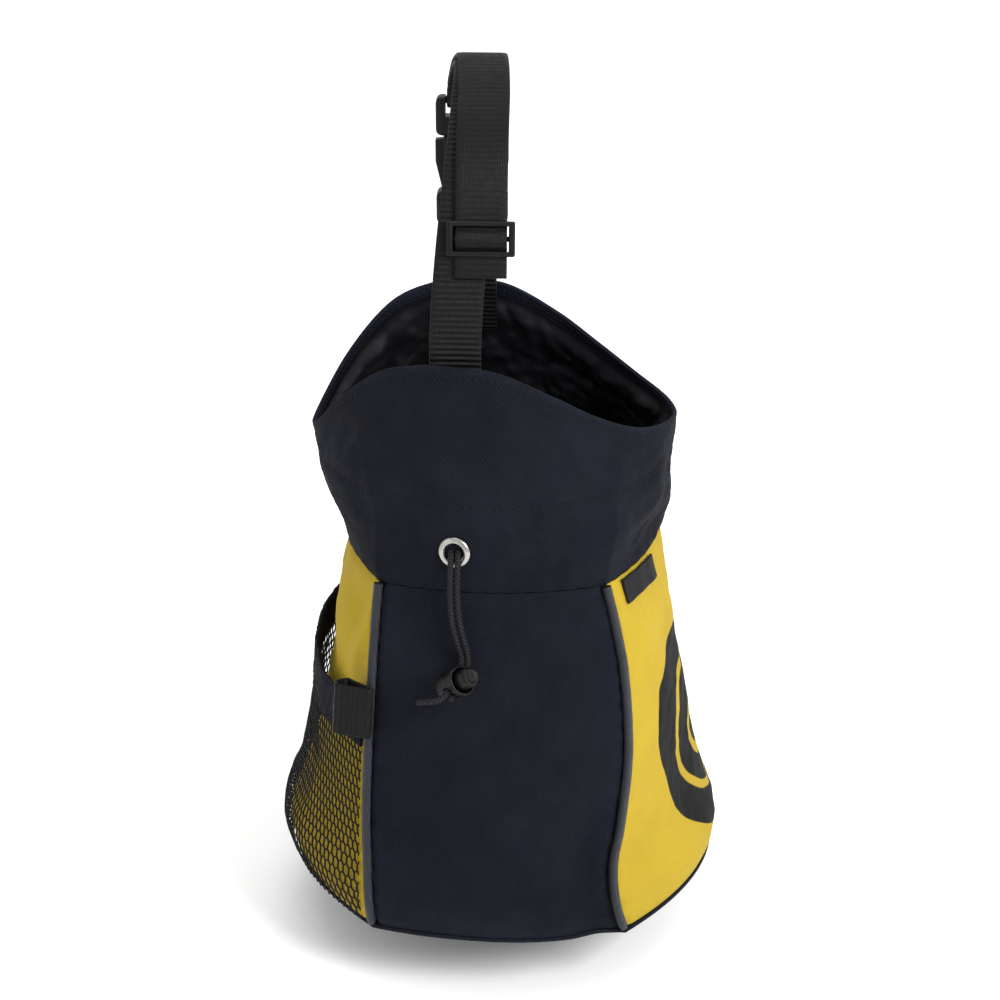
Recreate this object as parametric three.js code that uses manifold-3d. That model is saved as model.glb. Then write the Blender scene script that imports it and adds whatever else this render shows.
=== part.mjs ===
// Climbing chalk bag: a four-panel body, an open drawcord collar and a buckled webbing handle.
// Millimetres, +Z up, the front panel faces -Y. The origin is under the crown of the handle,
// where a hook holds the bag up. Pieces are laid out with the base at height 0 and moved at the end.
import * as THREE from "three";
import { mergeVertices } from "three/addons/utils/BufferGeometryUtils.js";
import Module from "manifold-3d";

const wasm = await Module();
wasm.setup();

// Gap that neighbouring pieces keep where they are sewn or seated together.
const SEAM_GAP = 0.3;

// Body, from the base seam to the waist seam. Depths and widths are from the middle of the bag.
const BODY_HEIGHT = 146;
const PANEL_HALF_WIDTH = 52;
const BASE_CORNER_DEPTH = 82;
const WAIST_CORNER_DEPTH = 57;
const BASE_HALF_WIDTH = 91;
const WAIST_HALF_WIDTH = 64;
const FRONT_BOW = 8.5;
const PANEL_WALL = 1.5;
const BASE_WALL = 2;
const PIPING_DIAMETER = 3.8;

// Collar, from the waist seam to the rim.
const COLLAR_WALL = 1.6;
const RIM_HALF_WIDTH = 73.5;
const RIM_HALF_DEPTH = 50;
const RIM_SHIFT = -4;
const RIM_PEAK_HEIGHT = 233.5;
const RIM_DIP_HEIGHT = 191;
const RIM_PINCH = 1.12;

// Lining, a pouch inside the panels and a sleeve inside the collar.
const LINING_WALL = 1;
const LINING_GAP = 1.5;
const LINING_BELOW_RIM = 5;

// Eyelet in the front of the collar, and the drawcord's two ends that leave it.
const EYELET_ABOVE_WAIST = 17;
const EYELET_X = -17;
const EYELET_DIAMETER = 12.8;
const EYELET_HOLE = 7;
const EYELET_RISE = 1.3;
const CORD_DIAMETER = 2.4;
const CORD_PITCH = 2.7;

// Cord lock: a tapered barrel with a sprung plunger, both crossed by the two cord ends.
const LOCK_MOUTH_DIAMETER = 12.4;
const LOCK_REAR_DIAMETER = 11;
const LOCK_LENGTH = 12.5;
const LOCK_WALL = 1.1;
const LOCK_CORD_FROM_MOUTH = 5.2;
const LOCK_MOUTH = new THREE.Vector3(-13, -83, 117.6);
const LOCK_AXIS = new THREE.Vector3(0.579, -0.552, 0.586).normalize();
const LOCK_BORE = new THREE.Vector3(0.376, 0.829, 0.405);
const PLUNGER_DIAMETER = 8;
const PLUNGER_STANDS_OUT = 6;
const PLUNGER_TRAVEL = 3;

// Routes of the two cord ends, chosen by hand: out of the eyelet, down the front panel, straight
// through the cord lock and on to their tips. They keep a cord's pitch apart all the way.
const LONG_CORD_ROUTE = [
  [-18.3, -62.6, 163.5],
  [-18.3, -64.6, 163.5],
  [-18.3, -67.1, 162.8],
  [-18.3, -68.9, 160.9],
  [-18.3, -69.7, 158.2],
  [-18.4, -70.1, 153.5],
  [-18.4, -70.6, 146.0],
  [-17.6, -71.4, 136.0],
  [-15.9, -71.9, 128.5],
  [-14.4, -71.9, 123.2],
  [-14.0, -72.8, 120.2],
  [-14.8, -75.1, 118.0],
  [-17.0, -80.1, 115.5],
  [-19.6, -85.9, 112.6],
  [-22.0, -88.2, 111.3],
  [-25.3, -88.3, 110.6],
  [-28.3, -86.6, 109.5],
  [-30.9, -84.4, 107.9],
];
const SHORT_CORD_ROUTE = [
  [-15.6, -62.6, 163.5],
  [-15.6, -64.6, 163.5],
  [-15.6, -67.1, 162.8],
  [-15.6, -68.9, 160.9],
  [-15.6, -69.7, 158.2],
  [-15.7, -70.1, 153.5],
  [-15.7, -70.6, 146.0],
  [-14.7, -71.4, 136.0],
  [-13.0, -71.9, 128.5],
  [-11.7, -72.0, 121.8],
  [-11.9, -73.0, 118.1],
  [-12.8, -75.1, 116.0],
  [-15.1, -80.1, 113.6],
  [-17.7, -85.9, 110.8],
  [-18.2, -87.0, 110.2],
];

// Handle webbing, its buckle and its slider.
const WEBBING_WIDTH = 20;
const WEBBING_THICKNESS = 1.5;
const HANDLE_RISE = 100;
const BUCKLE_WIDTH = 29;
const BUCKLE_LENGTH = 53;
const BUCKLE_THICKNESS = 8;
const BUCKLE_BAR = 3.2;
const BUCKLE_SLOT = 5;
const PLUG_FRAME = 16;
const SOCKET_WALL = 1.4;
const SLIDER_WIDTH = 26;
const SLIDER_HEIGHT = 13.5;
const SLIDER_BAR = 2;
const SLIDER_FROM_BUCKLE = 108.5;
const OUTER_PLY_X = -7.6;
const PLY_SLACK = 1.2;
const TAIL_LENGTH = 8;
const FAR_TAIL = 18;

// Mesh pocket on the left panel, its top band, the brush loop and the side tag.
const MESH_THICKNESS = 1;
const POCKET_SLACK = 4.5;
const POCKET_BULGE = 2;
const POCKET_LOW_EDGE = 76;
const POCKET_HIGH_EDGE = 84;
const BAND_HEIGHT = 17;
const BAND_THICKNESS = 1.5;
const LOOP_HEIGHT = 21;
const LOOP_REACH = 17;
const LOOP_DEPTH = 9.4;
const LOOP_PAST_CORNER = 5;
const LOOP_WALL = 1.2;
const LOOP_MIDDLE_HEIGHT = 94.2;
const TAG_FROM_PIPING = 8;
const TAG_WIDTH = 24;
const TAG_HEIGHT = 10;
const TAG_THICKNESS = 1.2;

// Shape of the body by height: at is a share of the body's height, spread goes from the waist's
// size at 0 to the base's at 1, left and right are shares of the front panel's half width.
const BODY_PROFILE = [
  { at: 0.0, spread: 0.94, left: 0.975, right: 1.01 },
  { at: 0.1, spread: 1.0, left: 1.0, right: 0.93 },
  { at: 0.2, spread: 0.8, left: 1.01, right: 0.9 },
  { at: 0.32, spread: 0.64, left: 1.02, right: 0.95 },
  { at: 0.53, spread: 0.45, left: 1.0, right: 1.0 },
  { at: 0.75, spread: 0.23, left: 0.965, right: 0.96 },
  { at: 0.9, spread: 0.09, left: 0.935, right: 0.88 },
  { at: 1.0, spread: 0.0, left: 0.91, right: 0.81 },
];

// Shape of the collar by height: at is a share of the way up, flare and tuck are how far its
// width and its depth have gone from the waist's to the rim's.
const COLLAR_PROFILE = [
  { at: 0.0, flare: 0.0, tuck: 0.0 },
  { at: 0.15, flare: 0.24, tuck: 0.03 },
  { at: 0.35, flare: 0.52, tuck: 0.14 },
  { at: 0.6, flare: 0.8, tuck: 0.42 },
  { at: 1.0, flare: 1.0, tuck: 1.0 },
];

// Height of the rim across the mouth: at is a share of its half width from the middle, rise goes
// from the dip at 0 to the peak at 1.
const RIM_LINE = [
  { at: -1.0, rise: 0.0 },
  { at: -0.82, rise: 0.47 },
  { at: -0.6, rise: 0.85 },
  { at: -0.38, rise: 0.985 },
  { at: -0.19, rise: 1.0 },
  { at: 0.05, rise: 0.95 },
  { at: 0.35, rise: 0.69 },
  { at: 0.58, rise: 0.44 },
  { at: 0.8, rise: 0.235 },
  { at: 1.0, rise: 0.13 },
];

// Dents (deep above 0) and ridges (below 0) of the panels. Side 0 is the front, then the right,
// the back and the left; across and up are shares of that side, wide and tall are the fold's reach.
const BODY_FOLDS = [
  { side: 0, across: 0.9, up: 0.14, wide: 0.08, tall: 0.16, deep: 5 },
  { side: 0, across: 0.3, up: 0.5, wide: 0.2, tall: 0.3, deep: 1.5 },
  { side: 0, across: 0.62, up: 0.32, wide: 0.16, tall: 0.3, deep: -1.5 },
  { side: 1, across: 0.3, up: 0.3, wide: 0.12, tall: 0.16, deep: 2.5 },
  { side: 1, across: 0.7, up: 0.5, wide: 0.16, tall: 0.2, deep: 2 },
  { side: 2, across: 0.35, up: 0.35, wide: 0.2, tall: 0.25, deep: 2.5 },
  { side: 2, across: 0.75, up: 0.15, wide: 0.12, tall: 0.15, deep: 2.5 },
  { side: 3, across: 0.72, up: 0.8, wide: 0.1, tall: 0.12, deep: -2 },
  { side: 3, across: 0.55, up: 0.9, wide: 0.1, tall: 0.1, deep: 2 },
];

// The same for the collar, where up is a share of the way from the waist to the rim.
const COLLAR_FOLDS = [
  { side: 0, across: 0.08, up: 0.35, wide: 0.22, tall: 0.25, deep: 5 },
  { side: 0, across: 0.55, up: 0.45, wide: 0.2, tall: 0.3, deep: -2 },
  { side: 0, across: 0.85, up: 0.2, wide: 0.12, tall: 0.2, deep: 2 },
  { side: 1, across: 0.3, up: 0.15, wide: 0.1, tall: 0.15, deep: 2.5 },
  { side: 1, across: 0.65, up: 0.3, wide: 0.12, tall: 0.2, deep: 2 },
  { side: 2, across: 0.3, up: 0.3, wide: 0.15, tall: 0.2, deep: 3 },
  { side: 2, across: 0.7, up: 0.5, wide: 0.15, tall: 0.25, deep: -2 },
  { side: 3, across: 0.35, up: 0.2, wide: 0.12, tall: 0.18, deep: 2.5 },
];

// Top edge of the pocket along the left panel, from its back (at 0) to its front (at 1): rise
// goes from the low edge at 0 to the high edge at 1.
const POCKET_EDGE = [
  { at: 0.0, rise: 1.0 },
  { at: 0.3, rise: 0.9 },
  { at: 0.48, rise: 0.62 },
  { at: 0.6, rise: 0.08 },
  { at: 0.75, rise: -0.05 },
  { at: 1.0, rise: 0.1 },
];

// Outline of the brush loop from above: along is a share of its reach past the piping, out is a
// share of its depth.
const LOOP_SECTION = [
  { along: 0.0, out: 0.0 },
  { along: 0.94, out: 0.0 },
  { along: 1.0, out: 0.35 },
  { along: 0.95, out: 0.76 },
  { along: 0.79, out: 1.0 },
  { along: 0.6, out: 0.9 },
  { along: 0.3, out: 0.55 },
  { along: 0.0, out: 0.32 },
];

// Handle arch in side view, as shares of its span from the near rim (0) to the far rim (1) and of
// its rise above the rim. x is the middle of the webbing.
const HANDLE_ARCH = [
  { across: 0.0, up: 0.06, x: -17.3 },
  { across: 0.03, up: 0.26, x: -16.4 },
  { across: 0.1, up: 0.48, x: -14.6 },
  { across: 0.2, up: 0.67, x: -12.6 },
  { across: 0.34, up: 0.81, x: -11.2 },
  { across: 0.5, up: 0.91, x: -10.4 },
  { across: 0.66, up: 0.98, x: -10 },
  { across: 0.8, up: 0.995, x: -10.6 },
  { across: 0.93, up: 0.935, x: -12.4 },
  { across: 1.0, up: 0.83, x: -14.4 },
];

// Reads a column of a table between its rows, on a smooth curve through them.
function read(table, column, at) {
  const last = table.length - 2;
  const found = table.findIndex((row, i) => i <= last && at <= table[i + 1].at);
  const i = found < 0 ? last : found;
  const slope = (j) => {
    const low = table[Math.max(j - 1, 0)];
    const high = table[Math.min(j + 1, last + 1)];
    return (high[column] - low[column]) / (high.at - low.at);
  };
  const [a, b] = [table[i], table[i + 1]];
  const width = b.at - a.at;
  const s = THREE.MathUtils.clamp((at - a.at) / width, 0, 1);
  const ease = s * s * (3 - 2 * s);
  const lift = slope(i) * width * s * (1 - s) * (1 - s) - slope(i + 1) * width * s * s * (1 - s);
  return a[column] + (b[column] - a[column]) * ease + lift;
}

// Depth of a set of folds at a place on one side.
function foldDepth(folds, side, across, up) {
  const reach = (fold) => ((across - fold.across) / fold.wide) ** 2 + ((up - fold.up) / fold.tall) ** 2;
  const here = folds.filter((fold) => fold.side === side);
  return here.reduce((sum, fold) => sum + fold.deep * Math.exp(-reach(fold)), 0);
}

// Moves a point towards the bag's upright axis.
function inset(point, distance) {
  const radius = Math.hypot(point.x, point.y);
  const share = 1 - distance / radius;
  return new THREE.Vector3(point.x * share, point.y * share, point.z);
}

// Corner of the body at a level (0 base, 1 waist): 0 front left, 1 front right, 2 back right, 3 back left.
function bodyCorner(level, corner) {
  const column = corner === 1 ? "right" : "left";
  const x = PANEL_HALF_WIDTH * read(BODY_PROFILE, column, level);
  const spread = read(BODY_PROFILE, "spread", level);
  const depth = THREE.MathUtils.lerp(WAIST_CORNER_DEPTH, BASE_CORNER_DEPTH, spread);
  const onRight = corner === 1 || corner === 2;
  const atBack = corner >= 2;
  return new THREE.Vector3(onRight ? x : -x, atBack ? depth : -depth, level * BODY_HEIGHT);
}

// How far a side stands out from the line between its two corners.
function sideBow(level, side) {
  if (side % 2 === 0) return FRONT_BOW;
  const spread = read(BODY_PROFILE, "spread", level);
  const halfWidth = THREE.MathUtils.lerp(WAIST_HALF_WIDTH, BASE_HALF_WIDTH, spread);
  const corners = [bodyCorner(level, side), bodyCorner(level, (side + 1) % 4)];
  const slack = side === 3 ? POCKET_SLACK * Math.sin(Math.PI * Math.min(level / 0.8, 1)) : 0;
  return halfWidth - (Math.abs(corners[0].x) + Math.abs(corners[1].x)) / 2 - slack;
}

// Point of the body's outer face on a side: across runs from one corner to the next.
function bodyPoint(side, across, level) {
  const from = bodyCorner(level, side);
  const to = bodyCorner(level, (side + 1) % 4);
  const point = from.clone().lerp(to, across);
  const outward = new THREE.Vector3(to.y - from.y, from.x - to.x, 0).normalize();
  point.addScaledVector(outward, sideBow(level, side) * 4 * across * (1 - across));
  return inset(point, foldDepth(BODY_FOLDS, side, across, level));
}

// Height of the rim over a place across the mouth.
function rimHeight(x) {
  const share = THREE.MathUtils.clamp((x - RIM_SHIFT) / RIM_HALF_WIDTH, -1, 1);
  return THREE.MathUtils.lerp(RIM_DIP_HEIGHT, RIM_PEAK_HEIGHT, read(RIM_LINE, "rise", share));
}

// Point of the collar's outer face: up goes from the waist seam at 0 to the rim at 1.
function collarPoint(side, across, up) {
  const waist = bodyPoint(side, across, 1);
  const angle = THREE.MathUtils.degToRad(90 * (side + across) - 135);
  const pinched = Math.sign(Math.sin(angle)) * Math.abs(Math.sin(angle)) ** RIM_PINCH;
  const rimX = RIM_SHIFT + RIM_HALF_WIDTH * Math.cos(angle);
  const rimY = RIM_HALF_DEPTH * pinched;
  const x = THREE.MathUtils.lerp(waist.x, rimX, read(COLLAR_PROFILE, "flare", up));
  const y = THREE.MathUtils.lerp(waist.y, rimY, read(COLLAR_PROFILE, "tuck", up));
  const z = THREE.MathUtils.lerp(BODY_HEIGHT + SEAM_GAP, rimHeight(rimX), up);
  const fade = 1 - Math.exp(-((up / 0.1) ** 2));
  return inset(new THREE.Vector3(x, y, z), fade * foldDepth(COLLAR_FOLDS, side, across, up));
}

// Closed geometry from vertices and triangles, turned to face outwards.
function closedGeometry(points, triangles) {
  const volume = triangles.reduce((sum, [a, b, c]) => {
    return sum + points[a].dot(new THREE.Vector3().crossVectors(points[b], points[c]));
  }, 0);
  const faces = volume < 0 ? triangles.map(([a, b, c]) => [a, c, b]) : triangles;
  return new THREE.BufferGeometry().setFromPoints(points).setIndex(faces.flat());
}

// Skin over a row of closed rings of equal count: its ends are capped, or joined when looped.
function skin(rings, looped = false) {
  const count = rings[0].length;
  const points = rings.flat();
  const triangles = [];
  const pairs = looped ? rings.length : rings.length - 1;
  for (let r = 0; r < pairs; r++) {
    const low = r * count;
    const high = ((r + 1) % rings.length) * count;
    for (let i = 0; i < count; i++) {
      const j = (i + 1) % count;
      triangles.push([low + i, low + j, high + j], [low + i, high + j, high + i]);
    }
  }
  if (looped) return closedGeometry(points, triangles);
  const ends = [
    { ring: rings[0], first: 0, turn: true },
    { ring: rings.at(-1), first: (rings.length - 1) * count, turn: false },
  ];
  for (const end of ends) {
    const middle = points.length;
    const sum = end.ring.reduce((total, point) => total.add(point), new THREE.Vector3());
    points.push(sum.divideScalar(count));
    for (let i = 0; i < count; i++) {
      const [a, b] = [end.first + i, end.first + ((i + 1) % count)];
      triangles.push(end.turn ? [middle, b, a] : [middle, a, b]);
    }
  }
  return closedGeometry(points, triangles);
}

// Sheet with two faces, each a function of across and up from 0 to 1.
function sheet(outer, inner, columns, rows) {
  const points = [];
  const triangles = [];
  const at = (face, i, j) => (face * (rows + 1) + j) * (columns + 1) + i;
  for (const face of [outer, inner]) {
    for (let j = 0; j <= rows; j++) {
      for (let i = 0; i <= columns; i++) points.push(face(i / columns, j / rows));
    }
  }
  const quad = (a, b, c, d) => triangles.push([a, b, c], [a, c, d]);
  for (let j = 0; j < rows; j++) {
    for (let i = 0; i < columns; i++) {
      quad(at(0, i, j), at(0, i + 1, j), at(0, i + 1, j + 1), at(0, i, j + 1));
      quad(at(1, i, j), at(1, i, j + 1), at(1, i + 1, j + 1), at(1, i + 1, j));
    }
  }
  for (let i = 0; i < columns; i++) {
    quad(at(0, i, 0), at(1, i, 0), at(1, i + 1, 0), at(0, i + 1, 0));
    quad(at(0, i, rows), at(0, i + 1, rows), at(1, i + 1, rows), at(1, i, rows));
  }
  for (let j = 0; j < rows; j++) {
    quad(at(0, 0, j), at(0, 0, j + 1), at(1, 0, j + 1), at(1, 0, j));
    quad(at(0, columns, j), at(1, columns, j), at(1, columns, j + 1), at(0, columns, j + 1));
  }
  return closedGeometry(points, triangles);
}

// Closed ring of points of the body or the collar at one level.
function ringOf(pointAt, level, distance, perSide) {
  const ring = [];
  for (let side = 0; side < 4; side++) {
    for (let i = 0; i < perSide; i++) ring.push(inset(pointAt(side, i / perSide, level), distance));
  }
  return ring;
}

// Manifold solid of a closed geometry, moved to its place in the bag first.
function solidOf(geometry, matrix = new THREE.Matrix4()) {
  const bare = geometry.clone().applyMatrix4(matrix);
  bare.deleteAttribute("normal");
  bare.deleteAttribute("uv");
  const merged = mergeVertices(bare, 1e-4);
  const vertProperties = merged.attributes.position.array;
  const triVerts = new Uint32Array(merged.index.array);
  return new wasm.Manifold(new wasm.Mesh({ numProp: 3, vertProperties, triVerts }));
}

// Geometry of a manifold solid.
function geometryOf(solid) {
  const mesh = solid.getMesh();
  const positions = new THREE.BufferAttribute(mesh.vertProperties, 3);
  return new THREE.BufferGeometry()
    .setAttribute("position", positions)
    .setIndex(new THREE.BufferAttribute(mesh.triVerts, 1));
}

// Joins solids into one.
function joined(solids) {
  return solids.reduce((whole, solid) => whole.add(solid));
}

// Flat plate in the XZ plane from an outline, centred on Y, with bevelled edges.
function plate(outline, thickness, bevel) {
  const options = {
    depth: thickness - 2 * bevel,
    bevelEnabled: bevel > 0,
    bevelThickness: bevel,
    bevelSize: bevel,
    bevelOffset: -bevel,
    bevelSegments: 1,
    curveSegments: 2,
  };
  const geometry = new THREE.ExtrudeGeometry(outline, options);
  return geometry.translate(0, 0, bevel - thickness / 2).rotateX(Math.PI / 2);
}

// Rectangle with rounded corners, as a shape.
function roundedRectangle(left, low, right, high, radius) {
  const shape = new THREE.Shape();
  shape.moveTo(left + radius, low);
  shape.lineTo(right - radius, low);
  shape.absarc(right - radius, low + radius, radius, -Math.PI / 2, 0);
  shape.lineTo(right, high - radius);
  shape.absarc(right - radius, high - radius, radius, 0, Math.PI / 2);
  shape.lineTo(left + radius, high);
  shape.absarc(left + radius, high - radius, radius, Math.PI / 2, Math.PI);
  shape.lineTo(left, low + radius);
  shape.absarc(left + radius, low + radius, radius, Math.PI, 1.5 * Math.PI);
  return shape;
}

// Tube of a round section along a smooth curve through points.
function tube(points, diameter, sides, steps) {
  const corners = [];
  for (let i = 0; i < sides; i++) {
    const angle = (2 * Math.PI * i) / sides;
    corners.push(new THREE.Vector2(Math.cos(angle), Math.sin(angle)).multiplyScalar(diameter / 2));
  }
  const extrudePath = new THREE.CatmullRomCurve3(points);
  return new THREE.ExtrudeGeometry(new THREE.Shape(corners), { steps, extrudePath, bevelEnabled: false });
}

// Webbing along a row of points, its width along X and its thickness in the side view.
function ribbon(path) {
  const halfWidth = WEBBING_WIDTH / 2;
  const rings = path.map((point, i) => {
    const before = path[Math.max(i - 1, 0)];
    const after = path[Math.min(i + 1, path.length - 1)];
    const along = new THREE.Vector2(after.y - before.y, after.z - before.z).normalize();
    const out = new THREE.Vector3(0, -along.y, along.x).multiplyScalar(WEBBING_THICKNESS / 2);
    const edge = new THREE.Vector3(halfWidth, 0, 0);
    const corner = (u, v) => point.clone().addScaledVector(edge, u).addScaledVector(out, v);
    return [corner(-1, -1), corner(1, -1), corner(1, 1), corner(-1, 1)];
  });
  return skin(rings);
}

// Panel between two pipings, from the base seam up to the waist seam.
function panelGeometry(side, columns) {
  const lowest = (BASE_WALL + SEAM_GAP) / BODY_HEIGHT;
  const face = (depth) => (u, v) => {
    const level = THREE.MathUtils.lerp(lowest, 1, v);
    const width = bodyCorner(level, side).distanceTo(bodyCorner(level, (side + 1) % 4));
    const margin = (PIPING_DIAMETER / 2 + 2 * SEAM_GAP) / width;
    const across = THREE.MathUtils.lerp(margin, 1 - margin, u);
    return inset(bodyPoint(side, across, level), depth);
  };
  return sheet(face(0), face(PANEL_WALL), columns, 12);
}

// Piping along a corner of the body.
function pipingGeometry(corner) {
  const lowest = (BASE_WALL + 4 * SEAM_GAP) / BODY_HEIGHT;
  const points = [];
  for (let i = 0; i <= 10; i++) points.push(bodyCorner(THREE.MathUtils.lerp(lowest, 1, i / 10), corner));
  return tube(points, PIPING_DIAMETER, 8, 14);
}

// Flat base with the body's outline.
function baseGeometry() {
  const low = ringOf(bodyPoint, 0, 0, 10);
  const high = low.map((point) => point.clone().setZ(BASE_WALL));
  return skin([low, high]);
}

// Collar with its eyelet hole, open at the waist and at the rim.
function collarGeometry() {
  const ups = [0, 0.08, 0.18, 0.3, 0.45, 0.62, 0.8, 1];
  const outside = ups.map((up) => ringOf(collarPoint, up, 0, 12));
  const inside = ups.map((up) => ringOf(collarPoint, up, COLLAR_WALL, 12)).reverse();
  const hole = new THREE.CylinderGeometry(EYELET_HOLE / 2 + 1, EYELET_HOLE / 2 + 1, 12, 20);
  return geometryOf(solidOf(skin([...outside, ...inside], true)).subtract(solidOf(hole, eyeletPlace())));
}

// Matrix of the eyelet: its Y axis leaves the collar's face, its origin lies on that face.
function eyeletPlace() {
  const up = EYELET_ABOVE_WAIST / (rimHeight(EYELET_X) - BODY_HEIGHT);
  const across = acrossAtX(0, EYELET_X, up);
  const middle = collarPoint(0, across, up);
  const step = 0.04;
  const rightward = collarPoint(0, across + step, up).sub(collarPoint(0, across - step, up));
  const upward = collarPoint(0, across, up + step).sub(collarPoint(0, across, up - step));
  const outward = rightward.clone().cross(upward).normalize();
  const turn = new THREE.Quaternion().setFromUnitVectors(new THREE.Vector3(0, 1, 0), outward);
  return new THREE.Matrix4().compose(middle, turn, new THREE.Vector3(1, 1, 1));
}

// Eyelet ring with a rolled flange and a short barrel in the fabric.
function eyeletGeometry() {
  const hole = EYELET_HOLE / 2;
  const rim = EYELET_DIAMETER / 2;
  const profile = [
    [hole, -COLLAR_WALL],
    [hole + 0.6, -COLLAR_WALL],
    [hole + 0.6, SEAM_GAP],
    [rim, SEAM_GAP],
    [rim - 0.3, SEAM_GAP + EYELET_RISE * 0.5],
    [rim - 1, SEAM_GAP + EYELET_RISE * 0.9],
    [hole + 1, SEAM_GAP + EYELET_RISE],
    [hole + 0.2, SEAM_GAP + EYELET_RISE * 0.6],
    [hole, -COLLAR_WALL],
  ];
  const points = profile.map(([radius, height]) => new THREE.Vector2(radius, height));
  return new THREE.LatheGeometry(points, 18).applyMatrix4(eyeletPlace());
}

// Lining inside the panels, a pouch with a floor that ends at the waist seam.
function liningPouchGeometry() {
  const floor = BASE_WALL + 2 * SEAM_GAP;
  const levels = [0.08, 0.2, 0.36, 0.55, 0.78, 1];
  const face = (extra) => {
    const floorRing = ringOf(bodyPoint, 0, PANEL_WALL + LINING_GAP + extra, 8);
    const rings = [floorRing.map((point) => point.setZ(floor + extra))];
    for (const level of levels) rings.push(ringOf(bodyPoint, level, PANEL_WALL + LINING_GAP + extra, 8));
    return rings;
  };
  return skin([...face(0), ...face(LINING_WALL).reverse()]);
}

// Lining inside the collar, from the waist seam to a little below the rim.
function liningSleeveGeometry() {
  const topUp = 1 - LINING_BELOW_RIM / (RIM_PEAK_HEIGHT - BODY_HEIGHT);
  const ups = [0, 0.12, 0.28, 0.45, 0.65, 0.85, topUp];
  const depth = COLLAR_WALL + LINING_GAP;
  const outside = ups.map((up) => ringOf(collarPoint, up, depth, 8));
  const inside = ups.map((up) => ringOf(collarPoint, up, depth + LINING_WALL, 8)).reverse();
  return skin([...outside, ...inside], true);
}

// Point of the left panel's outer face pushed out by the pocket: across runs from back to front.
function pocketPoint(across, height, distance) {
  const level = height / BODY_HEIGHT;
  const swell = Math.sin(Math.PI * across) * Math.min(1, height / 25);
  const out = SEAM_GAP + (POCKET_SLACK + POCKET_BULGE) * swell + distance;
  return inset(bodyPoint(3, across, level), -out);
}

// Height of the pocket's top edge.
function pocketEdge(across) {
  return THREE.MathUtils.lerp(POCKET_LOW_EDGE, POCKET_HIGH_EDGE, read(POCKET_EDGE, "rise", across));
}

// Share of the left panel that the pocket keeps clear at each piping.
function pocketMargin() {
  return (PIPING_DIAMETER / 2 + 3 * SEAM_GAP) / (2 * WAIST_CORNER_DEPTH);
}

// Mesh pocket, a thin bulging sheet on the left panel.
function pocketGeometry() {
  const lowest = BASE_WALL + SEAM_GAP;
  const face = (distance) => (u, v) => {
    const across = THREE.MathUtils.lerp(pocketMargin(), 1 - pocketMargin(), u);
    const height = THREE.MathUtils.lerp(lowest, pocketEdge(across), v);
    return pocketPoint(across, height, distance);
  };
  return sheet(face(MESH_THICKNESS), face(0), 18, 7);
}

// Band along the pocket's top edge.
function bandGeometry() {
  const face = (distance) => (u, v) => {
    const across = THREE.MathUtils.lerp(pocketMargin(), 1 - pocketMargin(), u);
    const height = pocketEdge(across) + SEAM_GAP + v * BAND_HEIGHT;
    return pocketPoint(across, height, distance);
  };
  return sheet(face(BAND_THICKNESS), face(0), 18, 1);
}

// Outline moved inwards by a wall, given in anticlockwise order.
function shrunk(points, wall) {
  return points.map((point, i) => {
    const before = point.clone().sub(points.at(i - 1)).normalize();
    const after = points[(i + 1) % points.length].clone().sub(point).normalize();
    const inward = new THREE.Vector2(-before.y - after.y, before.x + after.x).normalize();
    const square = inward.x * -after.y + inward.y * after.x;
    return point.clone().addScaledVector(inward, wall / square);
  });
}

// Brush loop: webbing sewn over the front left piping that stands out in front of the pocket.
function loopGeometry() {
  const level = LOOP_MIDDLE_HEIGHT / BODY_HEIGHT;
  const corner = bodyCorner(level, 0);
  const above = bodyCorner(level + 0.05, 0);
  const panel = pocketPoint(0.9, LOOP_MIDDLE_HEIGHT, BAND_THICKNESS + SEAM_GAP);
  const upward = above.sub(corner).normalize();
  const inPlane = panel.clone().sub(corner).projectOnPlane(upward).normalize();
  const outward = upward.clone().cross(inPlane);
  const points = LOOP_SECTION.map((row) => {
    return new THREE.Vector2(row.along * LOOP_REACH - LOOP_PAST_CORNER, row.out * LOOP_DEPTH);
  });
  const outline = new THREE.Shape(points);
  outline.holes.push(new THREE.Path(shrunk(points, LOOP_WALL)));
  const ring = new THREE.ExtrudeGeometry(outline, { depth: LOOP_HEIGHT, bevelEnabled: false });
  const rise = PIPING_DIAMETER / 2 + 2 * SEAM_GAP;
  const base = corner.clone().addScaledVector(upward, -LOOP_HEIGHT / 2).addScaledVector(outward, rise);
  const place = new THREE.Matrix4().makeBasis(inPlane, outward, upward);
  return ring.applyMatrix4(place.setPosition(base));
}

// Woven tag sewn into the waist seam, flat on the right panel.
function tagGeometry() {
  const width = bodyCorner(1, 1).distanceTo(bodyCorner(1, 2));
  const face = (distance) => (u, v) => {
    const across = (TAG_FROM_PIPING + u * TAG_WIDTH) / width;
    const level = 1 - (SEAM_GAP + (1 - v) * TAG_HEIGHT) / BODY_HEIGHT;
    return inset(bodyPoint(1, across, level), -SEAM_GAP - distance);
  };
  return sheet(face(TAG_THICKNESS), face(0), 4, 2);
}

// Share across the collar's near side (0) or far side (2) where its outer face reaches an x.
function acrossAtX(side, x, up) {
  let [low, high] = [0, 1];
  for (let i = 0; i < 24; i++) {
    const middle = (low + high) / 2;
    const reached = collarPoint(side, middle, up).x;
    const short = side === 0 ? reached < x : reached > x;
    if (short) low = middle;
    else high = middle;
  }
  return low;
}

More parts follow.
